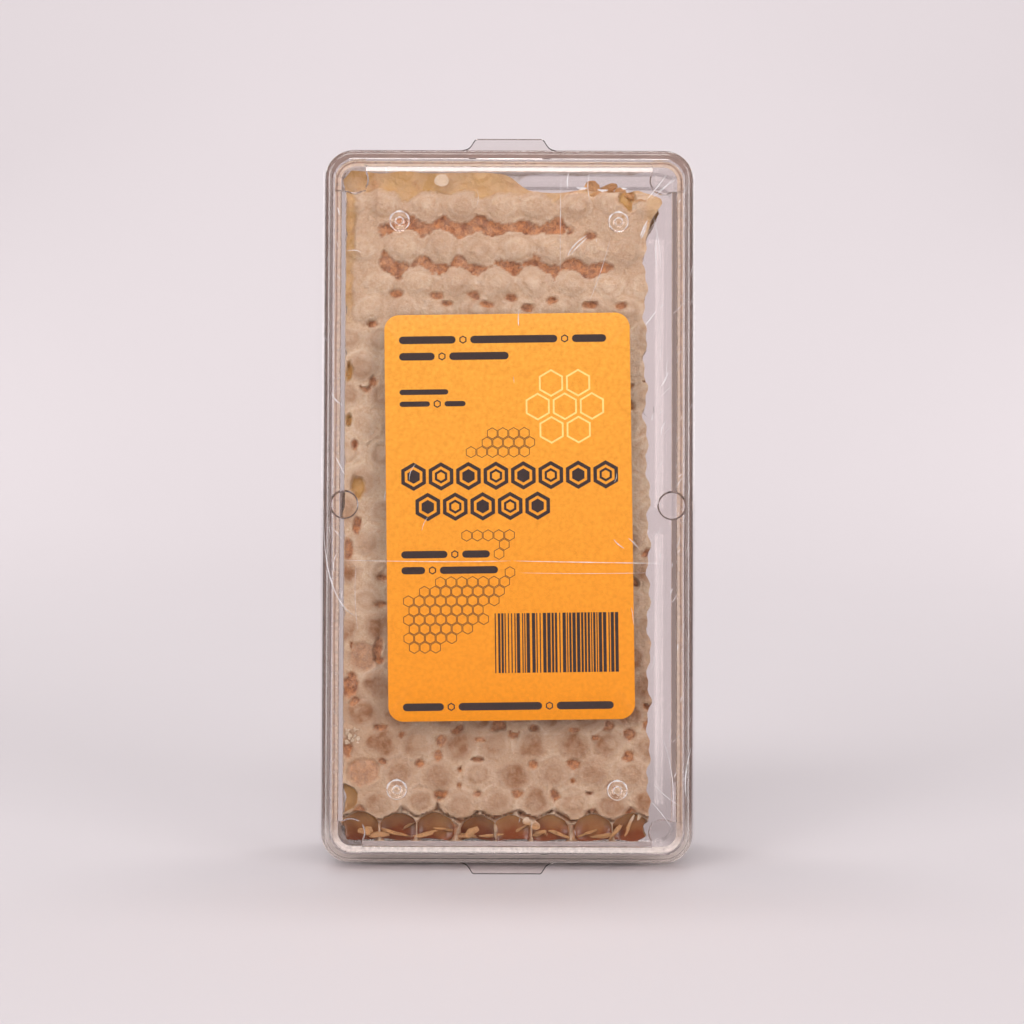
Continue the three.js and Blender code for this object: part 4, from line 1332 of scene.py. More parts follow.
def rosette_places():
    """The middle of the rosette and six places round it."""
    turn = np.arange(6) * math.pi / 3
    around = np.stack([np.cos(turn), np.sin(turn)], axis=-1) * ROSETTE["step"]
    return np.concatenate([[[0, 0]], around]) + [ROSETTE["x"], ROSETTE["z"]]


class COMBPACK_OT_label(Operator):
    """Cuts the paper label"""
    bl_idname = "combpack.label"
    bl_label = "Label"

    def execute(self, context):
        label = settings("label")
        loop = rounded_loop(label.width / 2, label.height / 2, label.corner, steps=10)
        edge = 1 - 0.04 * MM / loop[:, :1].max()
        shares = [0.4, 0.8, edge, 1, 1, edge, 0.8, 0.4]
        heights = np.array([1, 1, 1, 0.75, 0.25, 0, 0, 0]) * label.thickness - label.thickness
        rings = [on_label(*(loop * share).T, height) for share, height in zip(shares, heights)]
        poles = on_label(np.zeros(2), np.zeros(2), heights[[0, -1]])
        points = np.concatenate([poles, *rings])
        sheet = plain_object("label_paper", points, pole_faces(len(rings), len(loop)))
        finish_piece(sheet, label_paper_finish, "label", 30)
        return {"FINISHED"}


class COMBPACK_OT_print(Operator):
    """Prints plain bars, stripes, six-sided figures, a rosette and a mesh of cells on the label"""
    bl_idname = "combpack.print"
    bl_label = "Label print"

    def execute(self, context):
        ink = settings("label").ink
        boxes, dots = bar_places()
        bold, full = bold_places(), BOLD_ROWS["height"] / 2
        dark = gather("label_print", [
            blocks(boxes, ink, 0.5), blocks(stripe_boxes(), ink, 0.1), hexagons(dots, 0.62, 0.2, ink),
            hexagons(bold, full, 0.62, ink), full_hexagons(bold[::2], full * 0.5, ink),
            hexagons(bold[1::2], full * 0.5, 0.4, ink),
        ])
        finish_piece(dark, dark_ink_finish, "label", 30)
        places = mesh_places(boxes + [(*place, 4.2, 4.6) for place in bold])
        radius = MESH["pitch"] / math.sqrt(3) * 0.96
        mesh = gather("label_mesh", [hexagons(places, radius, MESH["line"], ink / 2)])
        finish_piece(mesh, dark_ink_finish, "label", 30)
        rosette = hexagons(rosette_places(), ROSETTE["radius"], ROSETTE["line"], ink)
        finish_piece(gather("label_badge", [rosette]), badge_ink_finish, "label", 30)
        return {"FINISHED"}


# --- film ---

# Creases and painted glints as (start, middle, end, width): places round the film from the front's middle,
# and heights. Their white stands for creases that catch the light: a painted highlight.
CREASES_AND_GLINTS = (
    ((-24.9, -8.5), (-8, -8.8), (0.5, -8.5), 0.11), ((0.8, -8.5), (10, -8.7), (24.0, -8.8), 0.13),
    ((1.8, -10.3), (12, -10.5), (22.4, -10.2), 0.07), ((-28.2, -1.0), (-27.6, -14.5), (-23.1, -16.9), 0.16),
    ((7.9, 50.6), (7.7, 44), (7.8, 35.0), 0.07), ((1.5, 29.4), (1.4, 28), (1.5, 27.1), 0.16),
    ((8.9, 37.7), (9.5, 39.5), (11.8, 40.9), 0.2), ((9.3, 37.9), (10.4, 39.3), (11.9, 40.6), 0.14),
    ((15.4, 40.6), (14, 35), (12.1, 30.6), 0.07), ((12.2, 50.4), (11.6, 48.5), (12.3, 46.0), 0.1),
    ((9.0, 50.5), (8.7, 49), (8.9, 48.1), 0.2), ((16.0, -5.2), (16.4, -5.9), (17.6, -6.6), 0.14),
    ((18.2, -5.0), (18.9, -5.6), (19.7, -6.5), 0.13), ((22.3, 29.4), (21.6, 28.4), (20.6, 27.2), 0.18),
    ((21.0, 43.2), (20.4, 42.2), (19.9, 40.7), 0.22), ((23.4, -35.2), (25.4, -40), (25.0, -47.4), 0.1),
    ((27.9, -36.5), (26.4, -40.6), (27.0, -44.0), 0.2), ((22.0, -42), (24.0, -44.2), (26.2, -45.4), 0.09),
    ((21.6, -44.6), (23.4, -46.4), (24.9, -48.8), 0.1), ((-4.9, 47.7), (-4.4, 46.6), (-5.0, 45.2), 0.05),
    ((-22.9, -9.2), (-23.3, -14), (-22.6, -19.0), 0.06), ((22.6, 47.6), (24.0, 48.6), (25.4, 49.6), 0.14),
    ((23.9, 50.2), (22.6, 48.4), (20.9, 46.4), 0.16), ((24.9, 49.8), (23.5, 47.8), (21.6, 46.6), 0.1),
    ((10.2, 48.2), (10.9, 47.9), (11.8, 48.1), 0.42), ((13.4, 47.9), (14.1, 47.6), (15.0, 47.8), 0.36),
    ((17.0, 48.2), (17.3, 47.9), (17.9, 48.1), 0.3), ((20.9, 42.6), (20.6, 41.6), (20.0, 40.4), 0.2),
    ((22.4, 41.0), (22.1, 38.4), (22.4, 35.8), 0.12), ((21.8, 44.0), (22.9, 40.2), (23.0, 36.0), 0.07),
    ((-24.6, 38.4), (-23.2, 38.7), (-22.4, 38.2), 0.1), ((-18.7, 51.2), (-18.6, 50.7), (-18.7, 50.2), 0.1),
)


def film_line():
    """The film's path round the box, and how far along it each point lies: six corners, each rounded by
    a curve that bends from one side to the next. It starts at the front's middle."""
    box, film = settings("box"), settings("film")
    side = box.lid_width / 2 + film.gap
    back_side = box.tray_width / 2 - box.tray_draft + film.gap
    right = np.array([
        [side, -film.front], [side, box.lid_depth + film.gap], [back_side, box.tray_back + film.gap]])
    corners = np.concatenate([right, right[::-1] * [-1, 1]])
    share = np.linspace(0, 1, 9)[:, None]
    line = [[[0, -film.front]]]
    for before, corner, after in zip(np.roll(corners, 1, axis=0), corners, np.roll(corners, -1, axis=0)):
        start, end = (corner + (other - corner) / np.linalg.norm(other - corner) * film.corner
                      for other in (before, after))
        line.append(bend(start, corner, end, share))
    line.append([[0, -film.front]])
    line = np.concatenate(line)
    lengths = np.linalg.norm(np.diff(line, axis=0), axis=1)
    return line, np.concatenate([[0], np.cumsum(lengths)])


def film_dent(round_place, height):
    """How far the film is drawn in: broad dents and long slanting folds, none over the pips."""
    box, film = settings("box"), settings("film")
    broad = ripple(round_place, 0.45 * height, 7 * MM, 71)
    folds = ripple(round_place + 0.35 * height, 0.16 * height, 2.6 * MM, 73)
    dent = film.wrinkle * (0.55 * broad + 0.45 * folds * folds)
    off_pip = np.hypot(np.abs(round_place) - box.pip_x, np.abs(height) - box.pip_z)
    return dent * ease(box.pip_radius, 3 * box.pip_radius, off_pip)


def film_points(round_place, height, depth):
    """Points of the film: along its path, up its height, and moved inwards by the dent and a depth."""
    line, along = film_line()
    total = along[-1]
    little = 0.3 * MM

    def on_line(place):
        """The path's own points."""
        return np.stack([np.interp(np.mod(place, total), along, line[:, axis]) for axis in range(2)])

    place = np.mod(round_place, total)
    x, y = on_line(place)
    tangent = on_line(place + little) - on_line(place - little)
    tangent /= np.linalg.norm(tangent, axis=0)
    signed = np.where(place > total / 2, place - total, place)
    inwards = film_dent(signed, height) + depth
    return np.stack([x - tangent[1] * inwards, y + tangent[0] * inwards, height], axis=-1)


def ribbon(name, controls, widths, thickness):
    """Thin closed ribbons on the film: along each, a curve from its start past its middle point to its
    end, with a flat six-sided section that narrows to both ends."""
    steps, sides = 14, 6
    share = np.linspace(0, 1, steps)[None, :, None]
    start, middle, end = (controls[:, index, None] for index in range(3))
    path = bend(start, middle, end, share)
    slope = 2 * (1 - share) * (middle - start) + 2 * share * (end - middle)
    slope /= np.linalg.norm(slope, axis=-1, keepdims=True)
    taper = 0.12 + 0.88 * np.sin(share * math.pi) ** 0.6
    taper = taper * (0.7 + 0.5 * chance(np.arange(steps) * 3.7))[:, None]
    angle = np.arange(sides) / sides * 2 * math.pi
    out = widths[:, None, None] / 2 * taper * np.cos(angle)
    place = path[..., :1] - slope[..., 1:] * out
    height = path[..., 1:] + slope[..., :1] * out
    depth = thickness * (0.75 + 0.5 * taper * np.sin(angle))
    points = film_points(place.ravel(), height.ravel(), np.broadcast_to(depth, place.shape).ravel())
    return plain_object(name, points, tube_faces(steps, sides, len(controls)))


def stray_creases_and_glints(count, across, up, lean, seed):
    """Short random creases and painted glints in a stretch of the film, leaning mostly one way: their
    controls and widths.
    """
    number = np.arange(count) + seed * 100
    place = (across[0] + (across[1] - across[0]) * chance(number * 1.1)) * MM
    height = (up[0] + (up[1] - up[0]) * chance(number * 2.3 + 1)) * MM
    long = (0.6 + 2.6 * chance(number * 3.1 + 2) ** 2) * MM
    angle = lean + (chance(number * 4.3 + 3) - 0.5) * 0.9
    reach = np.stack([long * np.cos(angle), long * np.sin(angle)], axis=-1) / 2
    middle = np.stack([place, height], axis=-1)
    bow = reach[:, ::-1] * [1, -1] * (chance(number * 5.9 + 4)[:, None] - 0.5)
    controls = np.stack([middle - reach, middle + bow, middle + reach], axis=1)
    return controls, (0.05 + 0.12 * chance(number * 6.1 + 5) ** 2) * MM


def pip_glint_rings():
    """Painted highlights on the film over the pips, drawn as rings of white: six arcs each round a wide and
    a small circle, whose middle points lie where the tangents of their ends meet. The upper arcs are wider,
    where the pips catch the most light."""
    box = settings("box")
    turn = np.arange(6) * math.pi / 3
    controls, widths = [], []
    for middle in np.array([(x, z) for x in (-box.pip_x, box.pip_x) for z in (-box.pip_z, box.pip_z)]):
        for radius, width in ((0.9 * box.pip_radius, 0.32 * MM), (0.36 * box.pip_radius, 0.24 * MM)):
            reach = np.stack([turn, turn + math.pi / 6, turn + math.pi / 3], axis=-1)
            far = radius * np.array([1, 1 / math.cos(math.pi / 6), 1])
            controls.append(middle + np.stack([np.cos(reach) * far, np.sin(reach) * far], axis=-1))
            widths.append(width * (0.65 + 0.35 * np.sin(reach[:, 1])))
    return np.concatenate(controls), np.concatenate(widths)


class COMBPACK_OT_film(Operator):
    """Wraps the clear film sleeve round the box"""
    bl_idname = "combpack.film"
    bl_label = "Film"

    def execute(self, context):
        film = settings("film")
        total = film_line()[1][-1]
        around, rows = int(total / film.step), int(2 * film.half_height / film.step) + 1
        place, share = np.meshgrid(np.arange(around) / around * total, np.linspace(-1, 1, rows))
        ragged = 1 - 0.012 * ripple(place, np.sign(share) * 9 * MM, 5 * MM, 77)
        height = (share * film.half_height * ragged).ravel()
        inner = film_points(place.ravel(), height, 0)
        outer = film_points(place.ravel(), height, -film.thickness)
        shell = np.concatenate([inner.reshape(rows, around, 3), outer.reshape(rows, around, 3)[::-1]])
        sleeve = plain_object("film_sleeve", shell.reshape(-1, 3), ring_faces(2 * rows, around))
        finish_piece(sleeve, clear_film_finish, "film", 60)
        return {"FINISHED"}


class COMBPACK_OT_creases(Operator):
    """Draws the film's milky creases, whose white is partly a painted highlight"""
    bl_idname = "combpack.creases"
    bl_label = "Film creases"

    def execute(self, context):
        controls = np.array([crease[:3] for crease in CREASES_AND_GLINTS], float) * MM
        widths = np.array([crease[3] for crease in CREASES_AND_GLINTS]) * MM
        total = film_line()[1][-1] / MM
        strays = [
            stray_creases_and_glints(46, (21.6, 28.3), (-48, 49), 1.05, 1),
            stray_creases_and_glints(12, (-28.0, -24.6), (-48, 49), 1.9, 2),
            stray_creases_and_glints(10, (-22, 21), (-50, 50), 1.4, 3),
            stray_creases_and_glints(70, (30, total - 30), (-49, 49), 1.2, 4),
            pip_glint_rings(),
        ]
        controls = np.concatenate([controls, *(stray[0] for stray in strays)])
        widths = np.concatenate([widths, *(stray[1] for stray in strays)])
        creases = ribbon("film_creases_and_glints", controls, widths, 0.03 * MM)
        finish_piece(creases, film_crease_finish, "film", 60)
        return {"FINISHED"}


# --- materials ---


def feed(tree, socket, value):
    """Links a socket to another node's output, or sets it to a plain value."""
    if isinstance(value, bpy.types.NodeSocket):
        tree.links.new(value, socket)
    else:
        socket.default_value = value


def node(tree, kind, inputs=None, **values):
    """Adds a shader node, sets its fields, and sets or links its inputs."""
    added = tree.nodes.new(kind if kind.startswith("Node") else "ShaderNode" + kind)
    for name, value in values.items():
        setattr(added, name, value)
    for name, value in (inputs or {}).items():
        feed(tree, added.inputs[name], value)
    return added


def mix_colour(tree, share, first, second):
    """The colour between two, by a share."""
    return node(tree, "Mix", {0: share, 6: first, 7: second}, data_type="RGBA", clamp_factor=True).outputs[2]


def maths(tree, operation, *values):
    """A number worked out from one, two or three others. A product is kept between 0 and 1."""
    made = node(tree, "Math", operation=operation, use_clamp=operation == "MULTIPLY")
    for socket, value in zip(made.inputs, values):
        feed(tree, socket, value)
    return made.outputs[0]


def mottle_group():
    """A node group: coarse and fine noise of a place, as two values from 0 to 1 and a height."""
    name = "Mottle"
    if name in bpy.data.node_groups:
        return bpy.data.node_groups[name]
    tree = bpy.data.node_groups.new(name, "ShaderNodeTree")
    for socket, default in (("Coarse", 400.0), ("Fine", 2500.0), ("Contrast", 1.0)):
        made = tree.interface.new_socket(socket, in_out="INPUT", socket_type="NodeSocketFloat")
        made.default_value = default
    tree.interface.new_socket("Vector", in_out="INPUT", socket_type="NodeSocketVector")
    for socket in ("Patches", "Grain", "Height"):
        tree.interface.new_socket(socket, in_out="OUTPUT", socket_type="NodeSocketFloat")
    given = node(tree, "NodeGroupInput").outputs
    levels = []
    for scale, detail in (("Coarse", 3), ("Fine", 2)):
        noise = node(tree, "TexNoise", {
            "Vector": given["Vector"], "Scale": given[scale], "Detail": detail, "Roughness": 0.55})
        away = maths(tree, "SUBTRACT", noise.outputs["Fac"], 0.5)
        levels.append(maths(tree, "MULTIPLY_ADD", away, given["Contrast"], 0.5))
    height = maths(tree, "MULTIPLY_ADD", levels[1], 0.4, levels[0])
    node(tree, "NodeGroupOutput", {"Patches": levels[0], "Grain": levels[1], "Height": height})
    return tree


def mottle(tree, coarse, fine, contrast):
    """Places the mottle group with its own sizes, which are waves in each metre."""
    place = node(tree, "TexCoord").outputs["Object"]
    sizes = {"Vector": place, "Coarse": coarse, "Fine": fine, "Contrast": contrast}
    return node(tree, "Group", sizes, node_tree=mottle_group()).outputs


def bumps(tree, height, strength, millimetres):
    """The normal of a surface with small bumps, by their height."""
    inputs = {"Height": height, "Strength": strength, "Distance": millimetres * MM}
    return node(tree, "Bump", inputs).outputs[0]


def ramp(tree, value, start, end):
    """How far a value is on its way from start to end, from 0 to 1."""
    return node(tree, "MapRange", {"Value": value, "From Min": start, "From Max": end}).outputs[0]


def height_ramp(tree, start, end):
    """How far a place is on its way from one height over the floor to another, in millimetres."""
    place = node(tree, "SeparateXYZ", {"Vector": node(tree, "TexCoord").outputs["Object"]})
    return ramp(tree, place.outputs[2], start * MM, end * MM)


def surface_of(tree, shader, **more):
    """Links a shader to the material's surface, and any others to the outputs they are named for."""
    node(tree, "OutputMaterial", {"Surface": shader.outputs[0], **more})


def principled(tree, inputs):
    """Makes a Principled shader with these inputs the material's surface."""
    surface_of(tree, node(tree, "BsdfPrincipled", inputs))


def scaled(tint, share, more=0):
    """A colour whose channels are multiplied and raised, and whose alpha is full."""
    return (*(min(1, channel * share + more) for channel in tint[:3]), 1)


def material_of(finish):
    """The material that a finish function fills: made once, and named after the function."""
    name = finish.__name__.removesuffix("_finish").replace("_", " ")
    if name not in bpy.data.materials:
        material = bpy.data.materials.new(name)
        material.use_nodes = True
        material.node_tree.nodes.clear()
        finish(material.node_tree, settings("colours"))
    return bpy.data.materials[name]


def clear_plastic_finish(tree, colours):
    """Clear moulded plastic: clean and glossy, with faint waves from the mould, and warm in its depth.
    Lamplight passes it as tinted light, instead of leaving a dark shadow."""
    waves = mottle(tree, 60, 900, 1.0)
    bsdf = node(tree, "BsdfPrincipled", {
        "Base Color": colours.plastic, "Roughness": 0.02, "IOR": 1.57, "Transmission Weight": 1.0,
        "Normal": bumps(tree, waves["Height"], 0.04, 0.1)})
    shadow = node(tree, "LightPath").outputs["Is Shadow Ray"]
    clear = node(tree, "BsdfTransparent", {"Color": (0.96, 0.955, 0.95, 1)})
    depth = node(tree, "VolumeAbsorption", {"Color": (0.3, 0.08, 0.0, 1), "Density": 42.0})
    mixed = node(tree, "MixShader", {0: shadow, 1: bsdf.outputs[0], 2: clear.outputs[0]})
    surface_of(tree, mixed, Volume=depth.outputs[0])


def veil(tree, colours, normal, ior, most, roughness):
    """Too thin to bend light: clear, mixed with a mirror by the angle of sight, up to the most that it
    may mirror."""
    clear = node(tree, "BsdfTransparent", {"Color": colours.film})
    sheen = node(tree, "BsdfPrincipled", {
        "Base Color": (1, 1, 1, 1), "Metallic": 1.0, "Roughness": roughness, "Normal": normal})
    fresnel = node(tree, "Fresnel", {"IOR": ior, "Normal": normal})
    share = maths(tree, "MINIMUM", fresnel.outputs[0], most)
    surface_of(tree, node(tree, "MixShader", {0: share, 1: clear.outputs[0], 2: sheen.outputs[0]}))


def thin_clear_plastic_finish(tree, colours):
    """The tray's clear plastic, which mirrors more of the light the flatter it is seen."""
    waves = mottle(tree, 60, 900, 1.0)
    veil(tree, colours, bumps(tree, waves["Height"], 0.05, 0.1), 1.45, 0.85, 0.03)


def clear_film_finish(tree, colours):
    """Thin clear film, which mirrors little of the light."""
    waves = mottle(tree, 90, 700, 1.0)
    veil(tree, colours, bumps(tree, waves["Height"], 0.06, 0.1), 1.25, 0.1, 0.05)


def film_crease_finish(tree, colours):
    """The milky line where film is folded, white partly as a painted highlight where the fold catches the
    light.
    """
    patches = mottle(tree, 900, 4000, 1.6)
    alpha = maths(tree, "MULTIPLY_ADD", patches["Patches"], 0.7, 0.2)
    principled(tree, {
        "Base Color": colours.crease, "Roughness": 0.25, "Alpha": alpha})


def painted_foot_light(tree):
    """Painted light: from 0 above the box's lower rim to 1 on it, the share by which a colour is lifted
    against the shade at the box's foot.
    """
    return height_ramp(tree, 8, 4)


def matt_plastic_edge_finish(tree, colours):
    """The matt end of a moulded wall: grey-brown with fine streaks, lifted towards the pale plastic colour
    along the foot as painted light against the shade there.
    """
    streaks = mottle(tree, 500, 3000, 1.6)
    base = mix_colour(tree, streaks["Patches"], colours.edge_dark, colours.edge)
    # Painted light: the foot is lifted towards the pale plastic colour against its shade.
    base = mix_colour(tree, painted_foot_light(tree), base, colours.plastic)
    principled(tree, {
        "Base Color": base, "Roughness": 0.55, "Alpha": 0.85,
        "Normal": bumps(tree, streaks["Height"], 0.2, 0.05)})


def wax_smear_finish(tree, colours):
    """A thin smear of wax and honey in lines along the rim: cream, then amber-brown, broken by gaps, and
    painted paler along the foot as light against the shade there."""
    streaks = mottle(tree, 150, 1500, 2.4)
    across = node(tree, "Attribute", attribute_name="across").outputs["Fac"]
    place = maths(tree, "MULTIPLY_ADD", streaks["Patches"], 0.16, across)
    brown = maths(tree, "MULTIPLY", ramp(tree, place, 0.56, 0.5), ramp(tree, place, 0.24, 0.32))
    base = mix_colour(tree, brown, colours.smear, colours.smear_dark)
    # Painted light: the foot is lifted towards the pale plastic colour against its shade.
    base = mix_colour(tree, maths(tree, "MULTIPLY", painted_foot_light(tree), 0.8), base, colours.plastic)
    patchy = maths(tree, "MULTIPLY_ADD", streaks["Grain"], 0.25, 0.35)
    principled(tree, {
        "Base Color": base, "Roughness": 0.35, "Alpha": maths(tree, "MULTIPLY_ADD", brown, 0.15, patchy),
        "Normal": bumps(tree, streaks["Height"], 0.3, 0.05)})


def comb_wax_finish(tree, colours):
    """Beeswax: mottled cappings, pale rims, honey-damp patches, painted shade in the folds and deep cells,
    honey, and bare granular wax, by the mesh's masks."""
    tones = node(tree, "Attribute", attribute_name="comb_tone")
    bare, honey, wet_and_shade = node(tree, "SeparateColor", {"Color": tones.outputs["Color"]}).outputs
    skin = mottle(tree, 900, 3300, 2.1)
    grains = mottle(tree, 1150, 3900, 3.0)
    base = mix_colour(tree, skin["Patches"], colours.wax_dark, colours.wax)
    base = mix_colour(tree, maths(tree, "MULTIPLY", skin["Grain"], 0.6), base, colours.wax_pale)
    base = mix_colour(tree, tones.outputs["Alpha"], base, colours.wax_pale)
    # Painted shade: the third mask also darkens folds and deep cell walls with the wet-wax colour.
    soaked = maths(tree, "MULTIPLY", wet_and_shade, maths(tree, "MULTIPLY_ADD", skin["Patches"], 0.6, 0.6))
    base = mix_colour(tree, soaked, base, colours.wax_wet_and_shade)
    crumb = maths(tree, "SUBTRACT", grains["Grain"], 0.5)
    crumb = maths(tree, "MULTIPLY_ADD", crumb, 0.7, grains["Patches"])
    base = mix_colour(tree, bare, base, mix_colour(tree, crumb, colours.raw_dark, colours.raw))
    base = mix_colour(tree, honey, base, colours.honey)
    gloss = maths(tree, "MULTIPLY_ADD", wet_and_shade, -0.2, 0.52)
    height = maths(tree, "MULTIPLY_ADD", bare, grains["Height"], skin["Height"])
    principled(tree, {
        "Base Color": base, "Roughness": maths(tree, "MULTIPLY_ADD", honey, -0.25, gloss), "IOR": 1.44,
        "Subsurface Weight": 0.12, "Subsurface Radius": (1.0, 0.55, 0.3), "Subsurface Scale": 1.2 * MM,
        "Normal": bumps(tree, height, 0.75, 0.18)})


def honey_finish(tree, colours):
    """Honey held in wax: amber above, deep brown in the open cells along the foot, partly the honey's depth
    and partly painted shade, and glossy as liquid honey.
    """
    patches = mottle(tree, 300, 1500, 2.0)
    varied = maths(tree, "MULTIPLY", patches["Patches"], 0.5)
    # Painted shade, partly: the honey darkens towards the foot, where the open cells lie.
    share = maths(tree, "MULTIPLY_ADD", height_ramp(tree, 10, 4), 0.9, varied)
    principled(tree, {
        "Base Color": mix_colour(tree, share, colours.honey, colours.honey_deep_and_shaded), "Roughness": 0.22,
        "IOR": 1.49, "Coat Weight": 0.3, "Coat Roughness": 0.08,
        "Normal": bumps(tree, patches["Height"], 0.3, 0.2)})


def label_paper_finish(tree, colours):
    """Coated orange paper, a little deeper in colour towards its foot, with a fine tooth."""
    tooth = mottle(tree, 1700, 5200, 2.6)
    base = mix_colour(tree, height_ramp(tree, 84, 22), colours.label, colours.label_low)
    dark = scaled(colours.label_low, 0.72)
    base = mix_colour(tree, maths(tree, "MULTIPLY", tooth["Patches"], 0.45), base, dark)
    principled(tree, {
        "Base Color": base, "Roughness": 0.48, "IOR": 1.45,
        "Normal": bumps(tree, tooth["Height"], 0.25, 0.05)})


def print_ink(tree, tint):
    """Matt ink whose colour varies a little with the paper's tooth."""
    tooth = mottle(tree, 1500, 5000, 1.6)
    worn = maths(tree, "MULTIPLY", tooth["Patches"], 0.5)
    principled(tree, {
        "Base Color": mix_colour(tree, worn, tint, scaled(tint, 1.6, 0.01)),
        "Roughness": maths(tree, "MULTIPLY_ADD", tooth["Grain"], 0.15, 0.42)})


def dark_ink_finish(tree, colours):
    """The ink of the bars, stripes, figures and cells."""
    print_ink(tree, colours.ink)


def badge_ink_finish(tree, colours):
    """The ink of the badge's rings."""
    print_ink(tree, colours.badge)


def studio_paper_finish(tree, colours):
    """Matt pale paper with a trace of tooth."""
    tooth = mottle(tree, 12, 900, 1.0)
    principled(tree, {
        "Base Color": mix_colour(tree, tooth["Patches"], colours.paper, scaled(colours.paper, 0.985)),
        "Roughness": 0.85, "Normal": bumps(tree, tooth["Grain"], 0.05, 0.2)})


# --- studio ---


def sweep():
    """Studio paper: a floor that curves up into a wall behind the box, a profile carried along X."""
    floor, radius, wall, half, steps = 1.6, 0.5, 0.52, 0.34, 24
    turn = np.linspace(0, math.pi / 2, steps)
    y = np.concatenate([[-floor], radius + radius * np.sin(turn), [2 * radius]])
    z = np.concatenate([[0], radius - radius * np.cos(turn), [wall]])
    across = np.linspace(-half, half, 3)
    points = np.stack([
        np.repeat(across, len(y)), np.tile(y, len(across)), np.tile(z, len(across))], axis=-1)
    mesh = bpy.data.meshes.new("studio_sweep")
    mesh.from_pydata(points.tolist(), [], grid_quads(len(across), len(y)).tolist())
    mesh.shade_smooth()
    mesh.materials.append(material_of(studio_paper_finish))
    add_object("studio_sweep", mesh)


def panel_light(name, place, aim, size, watts, tint=(1, 1, 1)):
    """A soft square light that looks from its place to its aim."""
    lamp = bpy.data.lights.new(name, "AREA")
    lamp.shape = "RECTANGLE"
    lamp.size, lamp.size_y = size
    lamp.energy = watts
    lamp.color = tint
    item = add_object(name, lamp)
    item.location = place
    item.rotation_euler = (Vector(aim) - Vector(place)).to_track_quat("-Z", "Y").to_euler()


def studio_world():
    """Surroundings of four strengths: dim for what the surfaces mirror, grey-brown for what the plastic
    bends towards them, middling as soft light from all sides, and pale where they are seen."""
    mirrored, bent = (0.1, 0.095, 0.095, 1), (0.27, 0.2, 0.185, 1)
    soft, seen = (0.25, 0.243, 0.243, 1), (0.72, 0.67, 0.68, 1)
    world = bpy.data.worlds.new("studio")
    bpy.context.scene.world = world
    world.use_nodes = True
    tree = world.node_tree
    tree.nodes.clear()
    path = node(tree, "LightPath").outputs
    light = mix_colour(tree, path["Is Transmission Ray"], mirrored, bent)
    light = mix_colour(tree, path["Is Diffuse Ray"], light, soft)
    light = mix_colour(tree, path["Is Camera Ray"], light, seen)
    node(tree, "OutputWorld", {"Surface": node(tree, "Background", {"Color": light}).outputs[0]})


def studio_camera(studio):
    """A camera before the box's middle, moved by the aim, that looks down and leans by its angles."""
    origin = Vector(pack_to_frame([[0, 0, 0]])[0].tolist())
    back = Vector((0, -math.cos(studio.pitch), math.sin(studio.pitch)))
    turn = (-back).to_track_quat("-Z", "Y")
    camera = add_object("camera", bpy.data.cameras.new("camera"))
    camera.data.lens = studio.lens
    camera.data.sensor_width = studio.sensor
    camera.data.clip_start = 0.01
    camera.location = origin + Vector((studio.aim_x, 0, studio.aim_z)) + back * studio.distance
    camera.rotation_mode = "QUATERNION"
    camera.rotation_quaternion = turn @ Quaternion((0, 0, 1), studio.roll)
    bpy.context.scene.camera = camera


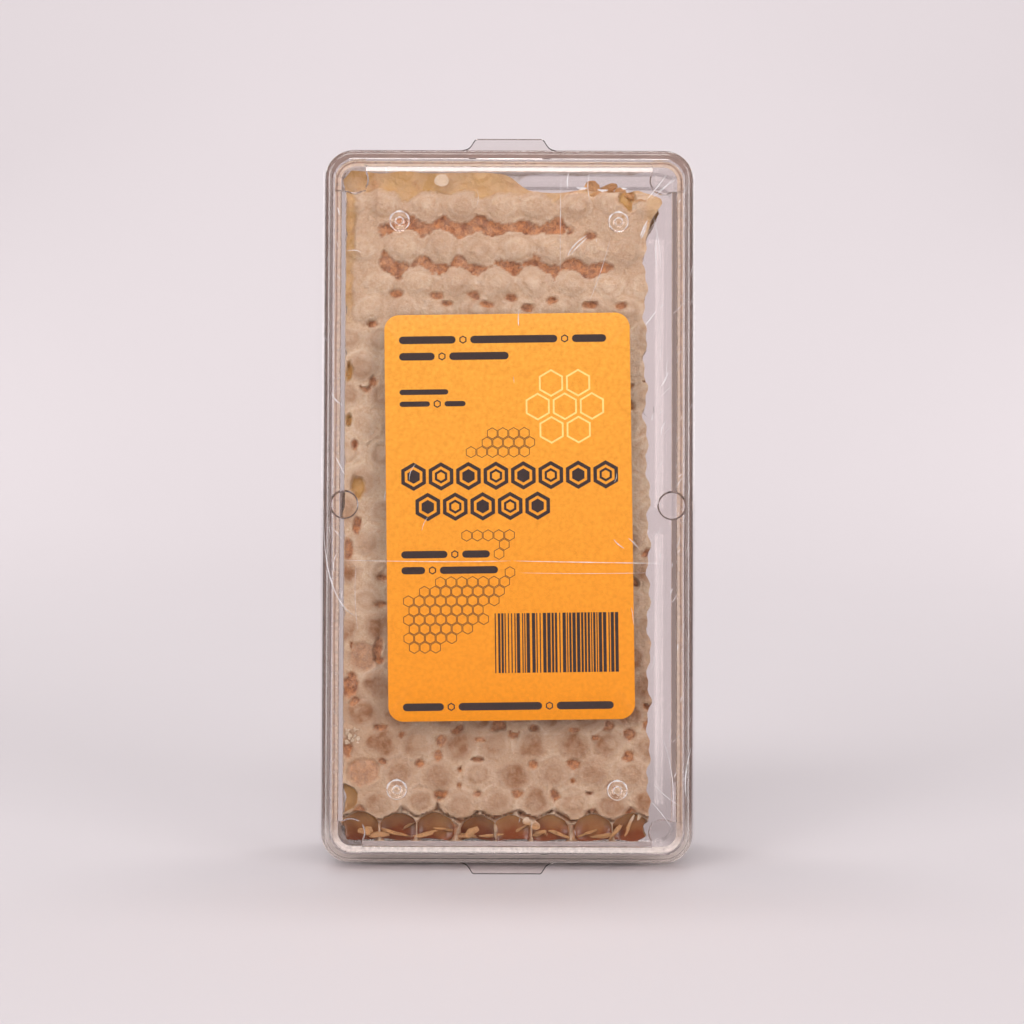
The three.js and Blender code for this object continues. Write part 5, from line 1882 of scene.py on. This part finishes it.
class COMBPACK_OT_studio(Operator):
    """Sets up the pale sweep, the soft lights and the camera"""
    bl_idname = "combpack.studio"
    bl_label = "Studio"

    def execute(self, context):
        studio = settings("studio")
        scene = context.scene
        scene.view_settings.view_transform = "Standard"
        scene.cycles.max_bounces = scene.cycles.transmission_bounces = 24
        sweep()
        studio_world()
        middle = (cad_box[0] + cad_box[1]) / 2
        high, low, strip = (0.5, 0.7), (0.4, 0.3), (0.12, 0.5)
        panel_light("key softbox", (-0.15, -0.75, 0.95), middle, (0.7, 0.4), studio.key)
        panel_light("left panel", (-0.6, -0.8, 0.3), middle, high, studio.fill)
        panel_light("right panel", (0.6, -0.8, 0.3), middle, high, studio.fill)
        panel_light("left rear panel", (-0.5, 0.6, 0.17), middle, low, studio.rear)
        panel_light("right rear panel", (0.5, 0.6, 0.17), middle, low, studio.rear)
        panel_light("top softbox", (0, 0.08, 1.0), middle, (0.6, 0.32), studio.top)
        panel_light("left window", (-0.6, 0.02, 0.1), middle, strip, studio.window, (0.86, 0.93, 1.0))
        panel_light("right window", (0.6, 0.02, 0.1), middle, strip, 0.25 * studio.window)
        panel_light("backdrop light", (0, 0.55, 1.4), (0, 1.0, 0.3), (1.2, 0.4), studio.back)
        studio_camera(studio)
        return {"FINISHED"}


# --- registration ---

OPERATORS = (
    COMBPACK_OT_lid,
    COMBPACK_OT_tray,
    COMBPACK_OT_comb,
    COMBPACK_OT_honey,
    COMBPACK_OT_scraps,
    COMBPACK_OT_edges,
    COMBPACK_OT_label,
    COMBPACK_OT_print,
    COMBPACK_OT_film,
    COMBPACK_OT_creases,
    COMBPACK_OT_studio,
)


class COMBPACK_PT_panel(Panel):
    """Lists the steps that build the pack and its studio"""
    bl_label = "Comb Honey Pack"
    bl_space_type = "VIEW_3D"
    bl_region_type = "UI"
    bl_category = "Comb Honey"

    def draw(self, context):
        for operator in OPERATORS:
            self.layout.operator(operator.bl_idname)


def register():
    """Adds the settings, the steps and the panel to Blender."""
    for kind in (*SETTINGS.values(), *OPERATORS, COMBPACK_PT_panel):
        bpy.utils.register_class(kind)
    for name, kind in SETTINGS.items():
        setattr(bpy.types.Scene, name, PointerProperty(type=kind))


def unregister():
    """Takes them out again."""
    for name in SETTINGS:
        delattr(bpy.types.Scene, name)
    for kind in reversed((*SETTINGS.values(), *OPERATORS, COMBPACK_PT_panel)):
        bpy.utils.unregister_class(kind)


def main():
    """Builds everything in order."""
    register()
    for operator in OPERATORS:
        group, name = operator.bl_idname.split(".")
        getattr(getattr(bpy.ops, group), name)()


if __name__ == "__main__":
    main()
